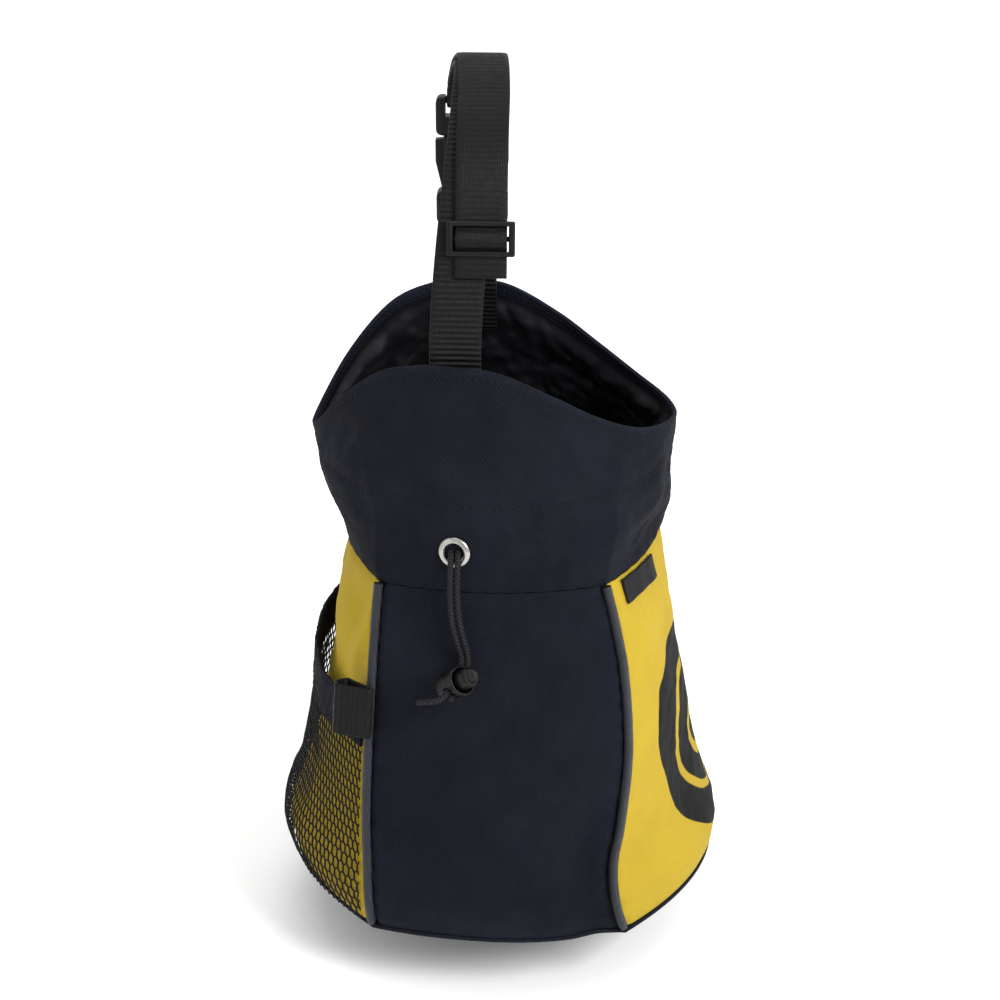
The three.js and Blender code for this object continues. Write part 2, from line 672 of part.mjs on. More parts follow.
// Place inside the lining where the middle of the flat webbing is sewn, near or far.
function sewnPoint(side, x, up) {
  const depth = COLLAR_WALL + LINING_GAP + LINING_WALL + 2 * SEAM_GAP + WEBBING_THICKNESS / 2;
  const edges = [-1, 0, 1].map((edge) => {
    return collarPoint(side, acrossAtX(side, x + (edge * WEBBING_WIDTH) / 2, up), up);
  });
  const flattest = Math.min(...edges.map((point) => Math.abs(point.y)));
  const y = (side === 0 ? -1 : 1) * (flattest - depth);
  return new THREE.Vector3(x, y, edges[1].z);
}

// Middle line of the inner ply: its sewn end at the near rim, then the arch.
function innerPly() {
  const nearX = HANDLE_ARCH[0].x;
  const near = sewnPoint(0, nearX, 1);
  const far = sewnPoint(2, nearX, 1);
  const sewn = [0.76, 0.86, 0.95].map((up) => sewnPoint(0, nearX, up));
  const arch = HANDLE_ARCH.map((row) => {
    const y = THREE.MathUtils.lerp(near.y, far.y, row.across);
    return new THREE.Vector3(row.x, y, near.z + row.up * HANDLE_RISE);
  });
  return new THREE.CatmullRomCurve3([...sewn, ...arch]);
}

// Distance from the middle of a buckle bar to the middle of the webbing round it.
function turnRadius() {
  return BUCKLE_BAR / 2 + SEAM_GAP + WEBBING_THICKNESS / 2;
}

// Middle of the closed buckle, which hangs upright from the arch's last point.
function buckleMiddle() {
  const end = innerPly().points.at(-1);
  return new THREE.Vector3(end.x, end.y + turnRadius(), end.z - BUCKLE_LENGTH / 2 - turnRadius());
}

// Middle of a bar of the buckle: the plug's at the top (1) or the socket's at the bottom (-1).
function barMiddle(end) {
  return buckleMiddle().add(new THREE.Vector3(0, 0, (end * (BUCKLE_LENGTH - BUCKLE_BAR)) / 2));
}

// Half turn of webbing round a bar, from its front to its back, under it or over it.
function barTurn(middle, under) {
  const turn = [];
  for (let i = 0; i <= 8; i++) {
    const angle = (Math.PI * i) / 8;
    const rise = (under ? -1 : 1) * turnRadius() * Math.sin(angle);
    turn.push(middle.clone().add(new THREE.Vector3(0, -turnRadius() * Math.cos(angle), rise)));
  }
  return turn;
}

// Point beside the inner ply at a share of its length, a distance outwards.
function besidePly(curve, share, out) {
  const point = curve.getPointAt(share);
  const along = curve.getTangentAt(share);
  return point.addScaledVector(new THREE.Vector3(0, -along.z, along.y).normalize(), out);
}

// Distances from the inner ply's middle to the slider's middle bar and to its two outer bars.
function sliderStandOff() {
  const middle = WEBBING_THICKNESS / 2 + SEAM_GAP + SLIDER_BAR / 2;
  return { middle, edge: middle + WEBBING_THICKNESS + SEAM_GAP };
}

// Share of the inner ply's length where the slider sits.
function sliderShare(curve) {
  return 1 - SLIDER_FROM_BUCKLE / curve.getLength();
}

// Distance between the middles of the two plies: over the slider's middle bar, under its outer
// bars, close below the slider, and slack above it.
function plyStandOff(fromSlider) {
  const pitch = (SLIDER_HEIGHT - SLIDER_BAR) / 2;
  const low = WEBBING_THICKNESS + SEAM_GAP;
  const high = sliderStandOff().middle + SLIDER_BAR / 2 + SEAM_GAP + WEBBING_THICKNESS / 2;
  const wave = (1 + Math.cos((Math.PI * fromSlider) / pitch)) / 2;
  if (Math.abs(fromSlider) <= pitch) return THREE.MathUtils.lerp(low, high, wave);
  if (fromSlider < 0) return low;
  return low + PLY_SLACK * THREE.MathUtils.smoothstep(fromSlider, pitch, 35);
}

// The long webbing: sewn in at the near rim, over the arch, round the plug's bar, back over the
// arch outside itself, through the slider and down to its free end.
function mainWebbing() {
  const curve = innerPly();
  const length = curve.getLength();
  const slider = sliderShare(curve);
  const tail = slider - (SLIDER_HEIGHT / 2 + TAIL_LENGTH) / length;
  const path = curve.getSpacedPoints(34).slice(0, -1);
  path.push(...barTurn(barMiddle(1), true));
  const steps = 58;
  for (let i = 0; i <= steps; i++) {
    const share = THREE.MathUtils.lerp(1, tail, i / steps);
    const nearBar = THREE.MathUtils.smoothstep(share, 0.88, 1);
    const slack = plyStandOff((share - slider) * length);
    const point = besidePly(curve, share, THREE.MathUtils.lerp(slack, 2 * turnRadius(), nearBar));
    const drift = 1 - THREE.MathUtils.smoothstep(share, 0.7, 0.97);
    path.push(point.setX(THREE.MathUtils.lerp(point.x, OUTER_PLY_X, drift)));
  }
  return path;
}

// The short webbing: sewn in at the far rim, up to the socket's bar, over it and down again.
function farWebbing() {
  const bar = barMiddle(-1);
  const turn = barTurn(bar, false);
  const sewn = [0.76, 0.86, 0.95, 1].map((up) => sewnPoint(2, bar.x, up));
  const run = new THREE.CatmullRomCurve3([...sewn, turn[0].clone().setZ(bar.z - 5), turn[0]]);
  const path = run.getSpacedPoints(16).slice(0, -1);
  path.push(...turn);
  for (let i = 1; i <= 5; i++) {
    const fall = THREE.MathUtils.smoothstep(i, 0, 4);
    const apart = THREE.MathUtils.lerp(2 * turnRadius(), WEBBING_THICKNESS + 2 * SEAM_GAP, fall);
    path.push(new THREE.Vector3(bar.x, bar.y - turnRadius() + apart, bar.z - (i * FAR_TAIL) / 5));
  }
  return path;
}

// Matrix that puts a piece drawn round its own middle at a place in the bag.
function placedAt(point) {
  return new THREE.Matrix4().setPosition(point);
}

// Notch for the webbing at one end of the buckle, and the round bar across it.
function barAndSlot(end) {
  const slotHalf = WEBBING_WIDTH / 2 + 2 * SEAM_GAP;
  const reach = BUCKLE_BAR + BUCKLE_SLOT;
  const notch = new THREE.BoxGeometry(2 * slotHalf, 2 * BUCKLE_THICKNESS, 2 * reach);
  const bar = new THREE.CylinderGeometry(BUCKLE_BAR / 2, BUCKLE_BAR / 2, 2 * slotHalf + 2, 10);
  const barHeight = (end * (BUCKLE_LENGTH - BUCKLE_BAR)) / 2;
  notch.translate(0, 0, (end * BUCKLE_LENGTH) / 2);
  return [notch, bar.rotateZ(Math.PI / 2).translate(0, 0, barHeight)];
}

// Length of the plug's arms: what the plug's frame and the socket's block leave of the buckle.
function plugArmLength() {
  return (BUCKLE_LENGTH - PLUG_FRAME) * 0.608;
}

// Plug half of the buckle: a frame with the webbing slot, a guide prong and two sprung arms.
function plugGeometry() {
  const half = BUCKLE_WIDTH / 2;
  const top = BUCKLE_LENGTH / 2;
  const frame = plate(roundedRectangle(-half, top - PLUG_FRAME, half, top, 2.5), BUCKLE_THICKNESS * 0.8, 0.8);
  const low = top - PLUG_FRAME;
  const armLength = plugArmLength();
  const arm = new THREE.Shape();
  const corners = [
    [half * 0.5, low + 1],
    [half * 0.76, low + 1],
    [half * 0.8, low - armLength * 0.07],
    [half * 1.02, low - armLength * 0.09],
    [half * 1.02, low - armLength * 0.49],
    [half * 0.84, low - armLength],
    [half * 0.56, low - armLength],
    [half * 0.6, low - armLength * 0.76],
    [half * 0.72, low - armLength * 0.4],
    [half * 0.62, low - armLength * 0.09],
  ];
  corners.forEach(([x, z]) => (arm.currentPoint.lengthSq() === 0 ? arm.moveTo(x, z) : arm.lineTo(x, z)));
  const thin = BUCKLE_THICKNESS - 2 * SOCKET_WALL - 4 * SEAM_GAP;
  const right = plate(arm, thin, 0.4);
  const left = right.clone().rotateZ(Math.PI);
  const prong = plate(roundedRectangle(-2.2, low - armLength * 0.84, 2.2, low + 1, 1), thin, 0.4);
  const place = placedAt(buckleMiddle());
  const [cut, bar] = barAndSlot(1).map((geometry) => solidOf(geometry, place));
  const inner = [right, left, prong].map((geometry) => solidOf(geometry, place));
  return geometryOf(joined([solidOf(frame, place).subtract(cut), bar, ...inner]));
}

// Socket half of the buckle: a block with the bar's slot, and two plates over the plug's arms.
function socketGeometry() {
  const half = BUCKLE_WIDTH / 2;
  const bottom = -BUCKLE_LENGTH / 2;
  const mouth = BUCKLE_LENGTH / 2 - PLUG_FRAME - 2 * SEAM_GAP;
  const shoulder = BUCKLE_LENGTH / 2 - PLUG_FRAME - plugArmLength() - 2 * SEAM_GAP;
  const block = plate(roundedRectangle(-half, bottom, half, shoulder, 2.5), BUCKLE_THICKNESS, 0.8);
  const cover = roundedRectangle(-half * 0.78, shoulder - 2, half * 0.78, mouth, 1.5);
  const shift = (BUCKLE_THICKNESS - SOCKET_WALL) / 2;
  const front = plate(cover, SOCKET_WALL, 0.3).translate(0, -shift, 0);
  const back = plate(cover, SOCKET_WALL, 0.3).translate(0, shift, 0);
  const place = placedAt(buckleMiddle());
  const [cut, bar] = barAndSlot(-1).map((geometry) => solidOf(geometry, place));
  const covers = [front, back].map((geometry) => solidOf(geometry, place));
  return geometryOf(joined([solidOf(block, place).subtract(cut), bar, ...covers]));
}

// Slider on the near leg: three round bars between two side rails, the middle bar between plies.
function sliderGeometry() {
  const curve = innerPly();
  const share = sliderShare(curve);
  const along = curve.getTangentAt(share).setX(0).normalize();
  const inward = new THREE.Vector3().crossVectors(along, new THREE.Vector3(1, 0, 0));
  const place = new THREE.Matrix4().makeBasis(new THREE.Vector3(1, 0, 0), inward, along);
  place.setPosition(curve.getPointAt(share).setX(OUTER_PLY_X));
  const off = sliderStandOff();
  const pitch = (SLIDER_HEIGHT - SLIDER_BAR) / 2;
  const bar = (out, rise) => {
    const cylinder = new THREE.CylinderGeometry(SLIDER_BAR / 2, SLIDER_BAR / 2, SLIDER_WIDTH - 1, 10);
    return cylinder.rotateZ(Math.PI / 2).translate(0, -out, rise);
  };
  const railThickness = (SLIDER_WIDTH - WEBBING_WIDTH) / 2 - 2 * SEAM_GAP;
  const deepest = off.edge + SLIDER_BAR / 2;
  const nearest = off.middle - SLIDER_BAR / 2;
  const rail = (sign) => {
    const outline = roundedRectangle(nearest, -SLIDER_HEIGHT / 2, deepest, SLIDER_HEIGHT / 2, 1.4);
    const flat = plate(outline, railThickness, 0.5).rotateZ(-Math.PI / 2);
    return flat.translate((sign * (SLIDER_WIDTH - railThickness)) / 2, 0, 0);
  };
  const parts = [bar(off.edge, pitch), bar(off.middle, 0), bar(off.edge, -pitch), rail(-1), rail(1)];
  return geometryOf(joined(parts.map((geometry) => solidOf(geometry, place))));
}

// Matrix of the cord lock: origin at its mouth, Y along the plunger, Z along the cords.
function lockPlace() {
  const along = LOCK_BORE.clone().projectOnPlane(LOCK_AXIS).normalize();
  const across = new THREE.Vector3().crossVectors(LOCK_AXIS, along);
  return new THREE.Matrix4().makeBasis(across, LOCK_AXIS, along).setPosition(LOCK_MOUTH);
}

// Turned piece of the cord lock, from radii and distances along its axis.
function lockTurned(profile) {
  const points = profile.map(([radius, along]) => new THREE.Vector2(radius, along));
  return solidOf(new THREE.LatheGeometry(points, 18), lockPlace());
}

// Cross slot of the cord lock: room for the cords, and for some travel towards the mouth.
function lockSlot(travel) {
  const reach = CORD_DIAMETER / 2 + SEAM_GAP;
  const width = CORD_PITCH + CORD_DIAMETER + 2 * SEAM_GAP;
  const box = new THREE.BoxGeometry(width, 2 * reach + travel, 2 * LOCK_MOUTH_DIAMETER);
  return solidOf(box.translate(0, travel / 2 - LOCK_CORD_FROM_MOUTH, 0), lockPlace());
}

// Barrel of the cord lock, closed at the back.
function lockBodyGeometry() {
  const mouth = LOCK_MOUTH_DIAMETER / 2;
  const rear = LOCK_REAR_DIAMETER / 2;
  const bore = PLUNGER_DIAMETER / 2 + SEAM_GAP;
  const barrel = lockTurned([
    [0, -LOCK_LENGTH],
    [rear - 0.8, -LOCK_LENGTH],
    [rear, -LOCK_LENGTH + 0.8],
    [mouth, -1],
    [mouth - 0.3, 0],
    [mouth - LOCK_WALL, 0],
    [mouth - LOCK_WALL, -1.5],
    [bore, -3],
    [bore, LOCK_WALL - LOCK_LENGTH],
    [0, LOCK_WALL - LOCK_LENGTH],
  ]);
  return geometryOf(barrel.subtract(lockSlot(0)));
}

// Plunger of the cord lock, with a slot long enough for its travel.
function plungerGeometry() {
  const radius = PLUNGER_DIAMETER / 2;
  const rear = LOCK_WALL + PLUNGER_TRAVEL + SEAM_GAP - LOCK_LENGTH;
  const plunger = lockTurned([
    [0, rear],
    [radius, rear],
    [radius, PLUNGER_STANDS_OUT - 0.8],
    [radius - 0.8, PLUNGER_STANDS_OUT],
    [0, PLUNGER_STANDS_OUT],
  ]);
  return geometryOf(plunger.subtract(lockSlot(PLUNGER_TRAVEL)));
}

// One of the two cord ends.
function cordGeometry(route) {
  const points = route.map(([x, y, z]) => new THREE.Vector3(x, y, z));
  const length = new THREE.CatmullRomCurve3(points).getLength();
  return tube(points, CORD_DIAMETER, 8, Math.round(length / (2 * CORD_DIAMETER)));
}

// Named mesh with its own material.
function piece(name, geometry, colour, roughness, metalness = 0) {
  const material = new THREE.MeshStandardMaterial({ color: colour, roughness, metalness });
  const mesh = new THREE.Mesh(geometry, material);
  mesh.name = name;
  return mesh;
}

const bag = new THREE.Group();
bag.add(piece("front_panel", panelGeometry(0, 10), 0x1a1b22, 0.85));
bag.add(piece("right_panel", panelGeometry(1, 12), 0xd8bc3a, 0.8));
bag.add(piece("back_panel", panelGeometry(2, 10), 0x1a1b22, 0.85));
bag.add(piece("left_panel", panelGeometry(3, 12), 0xd8bc3a, 0.8));
bag.add(piece("base_panel", baseGeometry(), 0x1a1b22, 0.85));
bag.add(piece("piping_front_left", pipingGeometry(0), 0x4b4b55, 0.6));
bag.add(piece("piping_front_right", pipingGeometry(1), 0x4b4b55, 0.6));
bag.add(piece("piping_back_right", pipingGeometry(2), 0x4b4b55, 0.6));
bag.add(piece("piping_back_left", pipingGeometry(3), 0x4b4b55, 0.6));
bag.add(piece("collar", collarGeometry(), 0x15161c, 0.85));
bag.add(piece("lining_pouch", liningPouchGeometry(), 0x101015, 0.6));
bag.add(piece("lining_sleeve", liningSleeveGeometry(), 0x101015, 0.6));
bag.add(piece("eyelet", eyeletGeometry(), 0xc9c9c4, 0.3, 1));
bag.add(piece("drawcord_long", cordGeometry(LONG_CORD_ROUTE), 0x8a8a8e, 0.7));
bag.add(piece("drawcord_short", cordGeometry(SHORT_CORD_ROUTE), 0x8a8a8e, 0.7));
bag.add(piece("cord_lock_body", lockBodyGeometry(), 0x0e0e10, 0.4));
bag.add(piece("cord_lock_plunger", plungerGeometry(), 0x0e0e10, 0.4));
bag.add(piece("strap_main", ribbon(mainWebbing()), 0x1b1b1e, 0.6));
bag.add(piece("strap_far", ribbon(farWebbing()), 0x1b1b1e, 0.6));
bag.add(piece("buckle_plug", plugGeometry(), 0x0e0e10, 0.4));
bag.add(piece("buckle_socket", socketGeometry(), 0x0e0e10, 0.4));
bag.add(piece("slider", sliderGeometry(), 0x0e0e10, 0.4));
bag.add(piece("mesh_pocket", pocketGeometry(), 0x202024, 0.7));
bag.add(piece("pocket_band", bandGeometry(), 0x18181c, 0.8));
bag.add(piece("brush_loop", loopGeometry(), 0x18181c, 0.8));
bag.add(piece("side_tag", tagGeometry(), 0x121214, 0.7));

// The handle hangs on a hook under its crown, so that place becomes the origin.
const crown = innerPly().getSpacedPoints(200).reduce((top, point) => (point.z > top.z ? point : top));
bag.position.set(-crown.x, -crown.y, WEBBING_THICKNESS / 2 - crown.z);

export default bag;
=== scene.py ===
"""Climbing chalk bag: its cloth, webbing, net and fittings, hung over a pale floor."""

import math

import bmesh
import bpy
import numpy as np
from bpy.props import FloatProperty, FloatVectorProperty, IntProperty, PointerProperty
from mathutils import Matrix, Vector


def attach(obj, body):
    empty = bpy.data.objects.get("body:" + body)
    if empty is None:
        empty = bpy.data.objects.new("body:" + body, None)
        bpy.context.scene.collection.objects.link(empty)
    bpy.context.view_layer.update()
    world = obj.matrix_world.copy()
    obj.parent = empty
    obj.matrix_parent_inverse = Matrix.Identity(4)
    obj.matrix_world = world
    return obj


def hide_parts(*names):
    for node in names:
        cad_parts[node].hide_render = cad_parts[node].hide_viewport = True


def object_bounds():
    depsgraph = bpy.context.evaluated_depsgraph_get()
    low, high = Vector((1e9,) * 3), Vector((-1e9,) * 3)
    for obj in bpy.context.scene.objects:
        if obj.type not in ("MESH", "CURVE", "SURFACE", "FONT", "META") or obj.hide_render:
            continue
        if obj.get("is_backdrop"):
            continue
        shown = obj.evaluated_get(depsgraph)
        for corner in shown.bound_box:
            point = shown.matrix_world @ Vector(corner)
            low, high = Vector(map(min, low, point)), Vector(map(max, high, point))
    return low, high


bl_info = {
    "name": "Climbing Chalk Bag",
    "version": (1, 0, 0),
    "blender": (4, 5, 0),
    "location": "View3D > Sidebar > Chalk Bag",
    "description": "Builds the cloth, webbing, net and fittings of a climbing chalk bag",
    "category": "Object",
}

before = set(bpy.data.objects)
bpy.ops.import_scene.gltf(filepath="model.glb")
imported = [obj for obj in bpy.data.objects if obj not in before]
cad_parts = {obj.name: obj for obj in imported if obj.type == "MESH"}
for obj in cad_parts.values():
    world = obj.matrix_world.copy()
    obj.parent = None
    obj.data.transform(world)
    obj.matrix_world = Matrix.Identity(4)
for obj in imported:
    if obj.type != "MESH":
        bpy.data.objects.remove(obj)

# Sizes of the part, in millimetres from the base upwards, as its source names them.
SEAM_GAP = 0.3
BODY_HEIGHT = 146.0
PANEL_HALF_WIDTH = 52.0
BASE_CORNER_DEPTH = 82.0
WAIST_CORNER_DEPTH = 57.0
BASE_HALF_WIDTH = 91.0
WAIST_HALF_WIDTH = 64.0
FRONT_BOW = 8.5
PANEL_WALL = 1.5
BASE_WALL = 2.0
PIPING_RADIUS = 1.9
COLLAR_WALL = 1.6
RIM_HALF_WIDTH = 73.5
RIM_HALF_DEPTH = 50.0
RIM_SHIFT = -4.0
RIM_PEAK_HEIGHT = 233.5
RIM_DIP_HEIGHT = 191.0
RIM_PINCH = 1.12
LINING_WALL = 1.0
LINING_GAP = 1.5
LINING_BELOW_RIM = 5.0
EYELET_ABOVE_WAIST = 17.0
EYELET_X = -17.0
EYELET_DIAMETER = 12.8
EYELET_HOLE = 7.0
EYELET_RISE = 1.3
CORD_DIAMETER = 2.4
CORD_PITCH = 2.7
LOCK_MOUTH_DIAMETER = 12.4
LOCK_REAR_DIAMETER = 11.0
LOCK_LENGTH = 12.5
LOCK_WALL = 1.1
LOCK_CORD_FROM_MOUTH = 5.2
LOCK_MOUTH = Vector((-13, -83, 117.6))
LOCK_AXIS = Vector((0.579, -0.552, 0.586)).normalized()
LOCK_BORE = Vector((0.376, 0.829, 0.405))
PLUNGER_DIAMETER = 8.0
PLUNGER_STANDS_OUT = 6.0
PLUNGER_TRAVEL = 3.0
WEBBING_WIDTH = 20.0
WEBBING_THICKNESS = 1.5
HANDLE_RISE = 100.0
BUCKLE_LENGTH = 53.0
BUCKLE_BAR = 3.2
SLIDER_HEIGHT = 13.5
SLIDER_BAR = 2.0
SLIDER_FROM_BUCKLE = 108.5
OUTER_PLY_X = -7.6
PLY_SLACK = 1.2
TAIL_LENGTH = 8.0
FAR_TAIL = 18.0
POCKET_SLACK = 4.5
POCKET_BULGE = 2.0
POCKET_LOW_EDGE = 76.0
POCKET_HIGH_EDGE = 84.0
BAND_HEIGHT = 17.0
BAND_THICKNESS = 1.5
LOOP_HEIGHT = 21.0
LOOP_REACH = 17.0
LOOP_DEPTH = 9.4
LOOP_PAST_CORNER = 5.0
LOOP_WALL = 1.2
LOOP_MIDDLE_HEIGHT = 94.2
TAG_FROM_PIPING = 8.0
TAG_WIDTH = 24.0
TAG_HEIGHT = 10.0
TAG_THICKNESS = 1.2
CHANNEL_HEIGHT = 181.5

# Spans that the patterns are laid over, and places of the sewing, in millimetres.
COLLAR_SPAN = 75.0
SIDE_SPAN = 97.0
LINING_SPAN = 90.0
POCKET_SPAN = 176.0
BAND_SPAN = 170.0
STRIP_STEP = 0.37
CORD_STEP = 0.35
BACK_OFFSET = 30.0
HEM_STITCH_LENGTH = 2.1
BAND_STITCH_LENGTH = 2.0
LOOP_STITCH_LENGTH = 1.8
EYELET_CUT = 8.5
HEM_STITCH = 2.6
BAND_STITCH = 2.2
LOOP_STITCHES = (0.9, 2.2)

CAMERA_TARGET = (-1.6, 0, 156.2)
CAMERA_TURN = 2
CAMERA_RISE = 25
CAMERA_LENS = 96.62


def columns(names, *rows):
    """Table with named columns."""
    return dict(zip(names.split(), np.array(rows, float).T))


# Shape of the body by height: spread goes from the waist's size at 0 to the base's at 1, left and
# right are shares of the front panel's half width.
BODY_PROFILE = columns(
    "at spread left right",
    (0.0, 0.94, 0.975, 1.01),
    (0.1, 1.0, 1.0, 0.93),
    (0.2, 0.8, 1.01, 0.9),
    (0.32, 0.64, 1.02, 0.95),
    (0.53, 0.45, 1.0, 1.0),
    (0.75, 0.23, 0.965, 0.96),
    (0.9, 0.09, 0.935, 0.88),
    (1.0, 0.0, 0.91, 0.81),
)

# Shape of the collar by height: how far its width and depth have gone from waist to rim.
COLLAR_PROFILE = columns(
    "at flare tuck",
    (0.0, 0.0, 0.0),
    (0.15, 0.24, 0.03),
    (0.35, 0.52, 0.14),
    (0.6, 0.8, 0.42),
    (1.0, 1.0, 1.0),
)

# Height of the rim across the mouth, from the dip at 0 to the peak at 1.
RIM_LINE = columns(
    "at rise",
    (-1.0, 0.0),
    (-0.82, 0.47),
    (-0.6, 0.85),
    (-0.38, 0.985),
    (-0.19, 1.0),
    (0.05, 0.95),
    (0.35, 0.69),
    (0.58, 0.44),
    (0.8, 0.235),
    (1.0, 0.13),
)

# Dents (deep above 0) and ridges (below 0). Side 0 is the front, then the right, the back and the
# left; across and up are shares of that side, wide and tall are the fold's reach.
BODY_FOLDS = columns(
    "side across up wide tall deep",
    (0, 0.9, 0.14, 0.08, 0.16, 5),
    (0, 0.3, 0.5, 0.2, 0.3, 1.5),
    (0, 0.62, 0.32, 0.16, 0.3, -1.5),
    (1, 0.3, 0.3, 0.12, 0.16, 2.5),
    (1, 0.7, 0.5, 0.16, 0.2, 2),
    (2, 0.35, 0.35, 0.2, 0.25, 2.5),
    (2, 0.75, 0.15, 0.12, 0.15, 2.5),
    (3, 0.72, 0.8, 0.1, 0.12, -2),
    (3, 0.55, 0.9, 0.1, 0.1, 2),
)
COLLAR_FOLDS = columns(
    "side across up wide tall deep",
    (0, 0.08, 0.35, 0.22, 0.25, 5),
    (0, 0.55, 0.45, 0.2, 0.3, -2),
    (0, 0.85, 0.2, 0.12, 0.2, 2),
    (1, 0.3, 0.15, 0.1, 0.15, 2.5),
    (1, 0.65, 0.3, 0.12, 0.2, 2),
    (2, 0.3, 0.3, 0.15, 0.2, 3),
    (2, 0.7, 0.5, 0.15, 0.25, -2),
    (3, 0.35, 0.2, 0.12, 0.18, 2.5),
)

# Creases of the cloth, from one place on a side to another: wide and deep are millimetres.
BODY_CREASES = columns(
    "side across up to_across to_up wide deep",
    (0, 0.06, 0.97, 0.3, 0.8, 6, 0.8),
    (0, 0.95, 0.98, 0.7, 0.72, 7, -0.9),
    (0, 0.97, 0.2, 0.8, 0.05, 5, -1.2),
    (0, 0.97, 0.42, 0.84, 0.2, 6, 1.2),
    (0, 0.1, 0.03, 0.45, 0.12, 7, 0.8),
    (1, 0.03, 0.93, 0.3, 0.6, 7, -1.0),
    (1, 0.05, 0.3, 0.32, 0.08, 6, 1.2),
    (1, 0.6, 0.96, 0.5, 0.6, 7, 1.2),
    (2, 0.05, 0.95, 0.32, 0.66, 7, 1.2),
    (2, 0.95, 0.97, 0.68, 0.6, 7, -1.2),
    (2, 0.15, 0.1, 0.5, 0.22, 8, 1.0),
    (3, 0.985, 0.95, 0.86, 0.66, 4, -2.0),
    (3, 0.94, 0.98, 0.8, 0.72, 4, 1.6),
    (3, 0.2, 0.97, 0.4, 0.68, 7, 1.4),
)
COLLAR_CREASES = columns(
    "side across up to_across to_up wide deep",
    (0, 0.22, 0.9, 0.36, 0.3, 9, -1.8),
    (0, 0.02, 0.62, 0.24, 0.5, 4, 1.3),
    (0, -0.05, 0.5, 0.2, 0.4, 4, -1.0),
    (0, 0.36, 0.3, 0.3, 0.02, 6, -1.2),
    (0, 0.62, 0.02, 0.7, 0.3, 6, 1.2),
    (0, 0.8, 0.02, 0.93, 0.3, 6, -1.4),
    (0, 0.95, 0.75, 0.7, 0.45, 9, 1.0),
    (1, 0.1, 0.05, 0.2, 0.4, 7, 1.5),
    (1, 0.5, 0.05, 0.45, 0.5, 8, -1.5),
    (1, 0.85, 0.05, 0.8, 0.45, 7, 1.5),
    (2, 0.2, 0.02, 0.25, 0.4, 7, -1.5),
    (2, 0.5, 0.02, 0.55, 0.35, 7, 1.6),
    (2, 0.85, 0.02, 0.8, 0.5, 8, -1.5),
    (3, 0.3, 0.05, 0.4, 0.45, 7, -1.5),
    (3, 0.7, 0.03, 0.65, 0.4, 7, 1.6),
)

# Top edge of the pocket from its back (0) to its front (1), from the low edge to the high one.
POCKET_EDGE = columns(
    "at rise",
    (0.0, 1.0),
    (0.3, 0.9),
    (0.48, 0.62),
    (0.6, 0.08),
    (0.75, -0.05),
    (1.0, 0.1),
)

# Outline of the brush loop from above, as shares of its reach past the piping and of its depth.
LOOP_SECTION = columns(
    "along out",
    (0.0, 0.0),
    (0.94, 0.0),
    (1.0, 0.35),
    (0.95, 0.76),
    (0.79, 1.0),
    (0.6, 0.9),
    (0.3, 0.55),
    (0.0, 0.32),
)

# Handle arch in side view, as shares of its span and of its rise; x is the middle of the webbing.
HANDLE_ARCH = columns(
    "across up x",
    (0.0, 0.06, -17.3),
    (0.03, 0.26, -16.4),
    (0.1, 0.48, -14.6),
    (0.2, 0.67, -12.6),
    (0.34, 0.81, -11.2),
    (0.5, 0.91, -10.4),
    (0.66, 0.98, -10.0),
    (0.8, 0.995, -10.6),
    (0.93, 0.935, -12.4),
    (1.0, 0.83, -14.4),
)

# Routes of the two cord ends: out of the eyelet, down the front, through the lock, to their tips.
LONG_CORD_ROUTE = (
    (-18.3, -62.6, 163.5),
    (-18.3, -64.6, 163.5),
    (-18.3, -67.1, 162.8),
    (-18.3, -68.9, 160.9),
    (-18.3, -69.7, 158.2),
    (-18.4, -70.1, 153.5),
    (-18.4, -70.6, 146.0),
    (-17.6, -71.4, 136.0),
    (-15.9, -71.9, 128.5),
    (-14.4, -71.9, 123.2),
    (-14.0, -72.8, 120.2),
    (-14.8, -75.1, 118.0),
    (-17.0, -80.1, 115.5),
    (-19.6, -85.9, 112.6),
    (-22.0, -88.2, 111.3),
    (-25.3, -88.3, 110.6),
    (-28.3, -86.6, 109.5),
    (-30.9, -84.4, 107.9),
)
SHORT_CORD_ROUTE = (
    (-15.6, -62.6, 163.5),
    (-15.6, -64.6, 163.5),
    (-15.6, -67.1, 162.8),
    (-15.6, -68.9, 160.9),
    (-15.6, -69.7, 158.2),
    (-15.7, -70.1, 153.5),
    (-15.7, -70.6, 146.0),
    (-14.7, -71.4, 136.0),
    (-13.0, -71.9, 128.5),
    (-11.7, -72.0, 121.8),
    (-11.9, -73.0, 118.1),
    (-12.8, -75.1, 116.0),
    (-15.1, -80.1, 113.6),
    (-17.7, -85.9, 110.8),
    (-18.2, -87.0, 110.2),
)

# Print on the right panel: bands between shares of the way from its middle to its edge.
PRINT_BANDS = columns(
    "start end",
    (-1.0, 0.2),
    (0.31, 0.56),
    (0.64, 1.0),
)


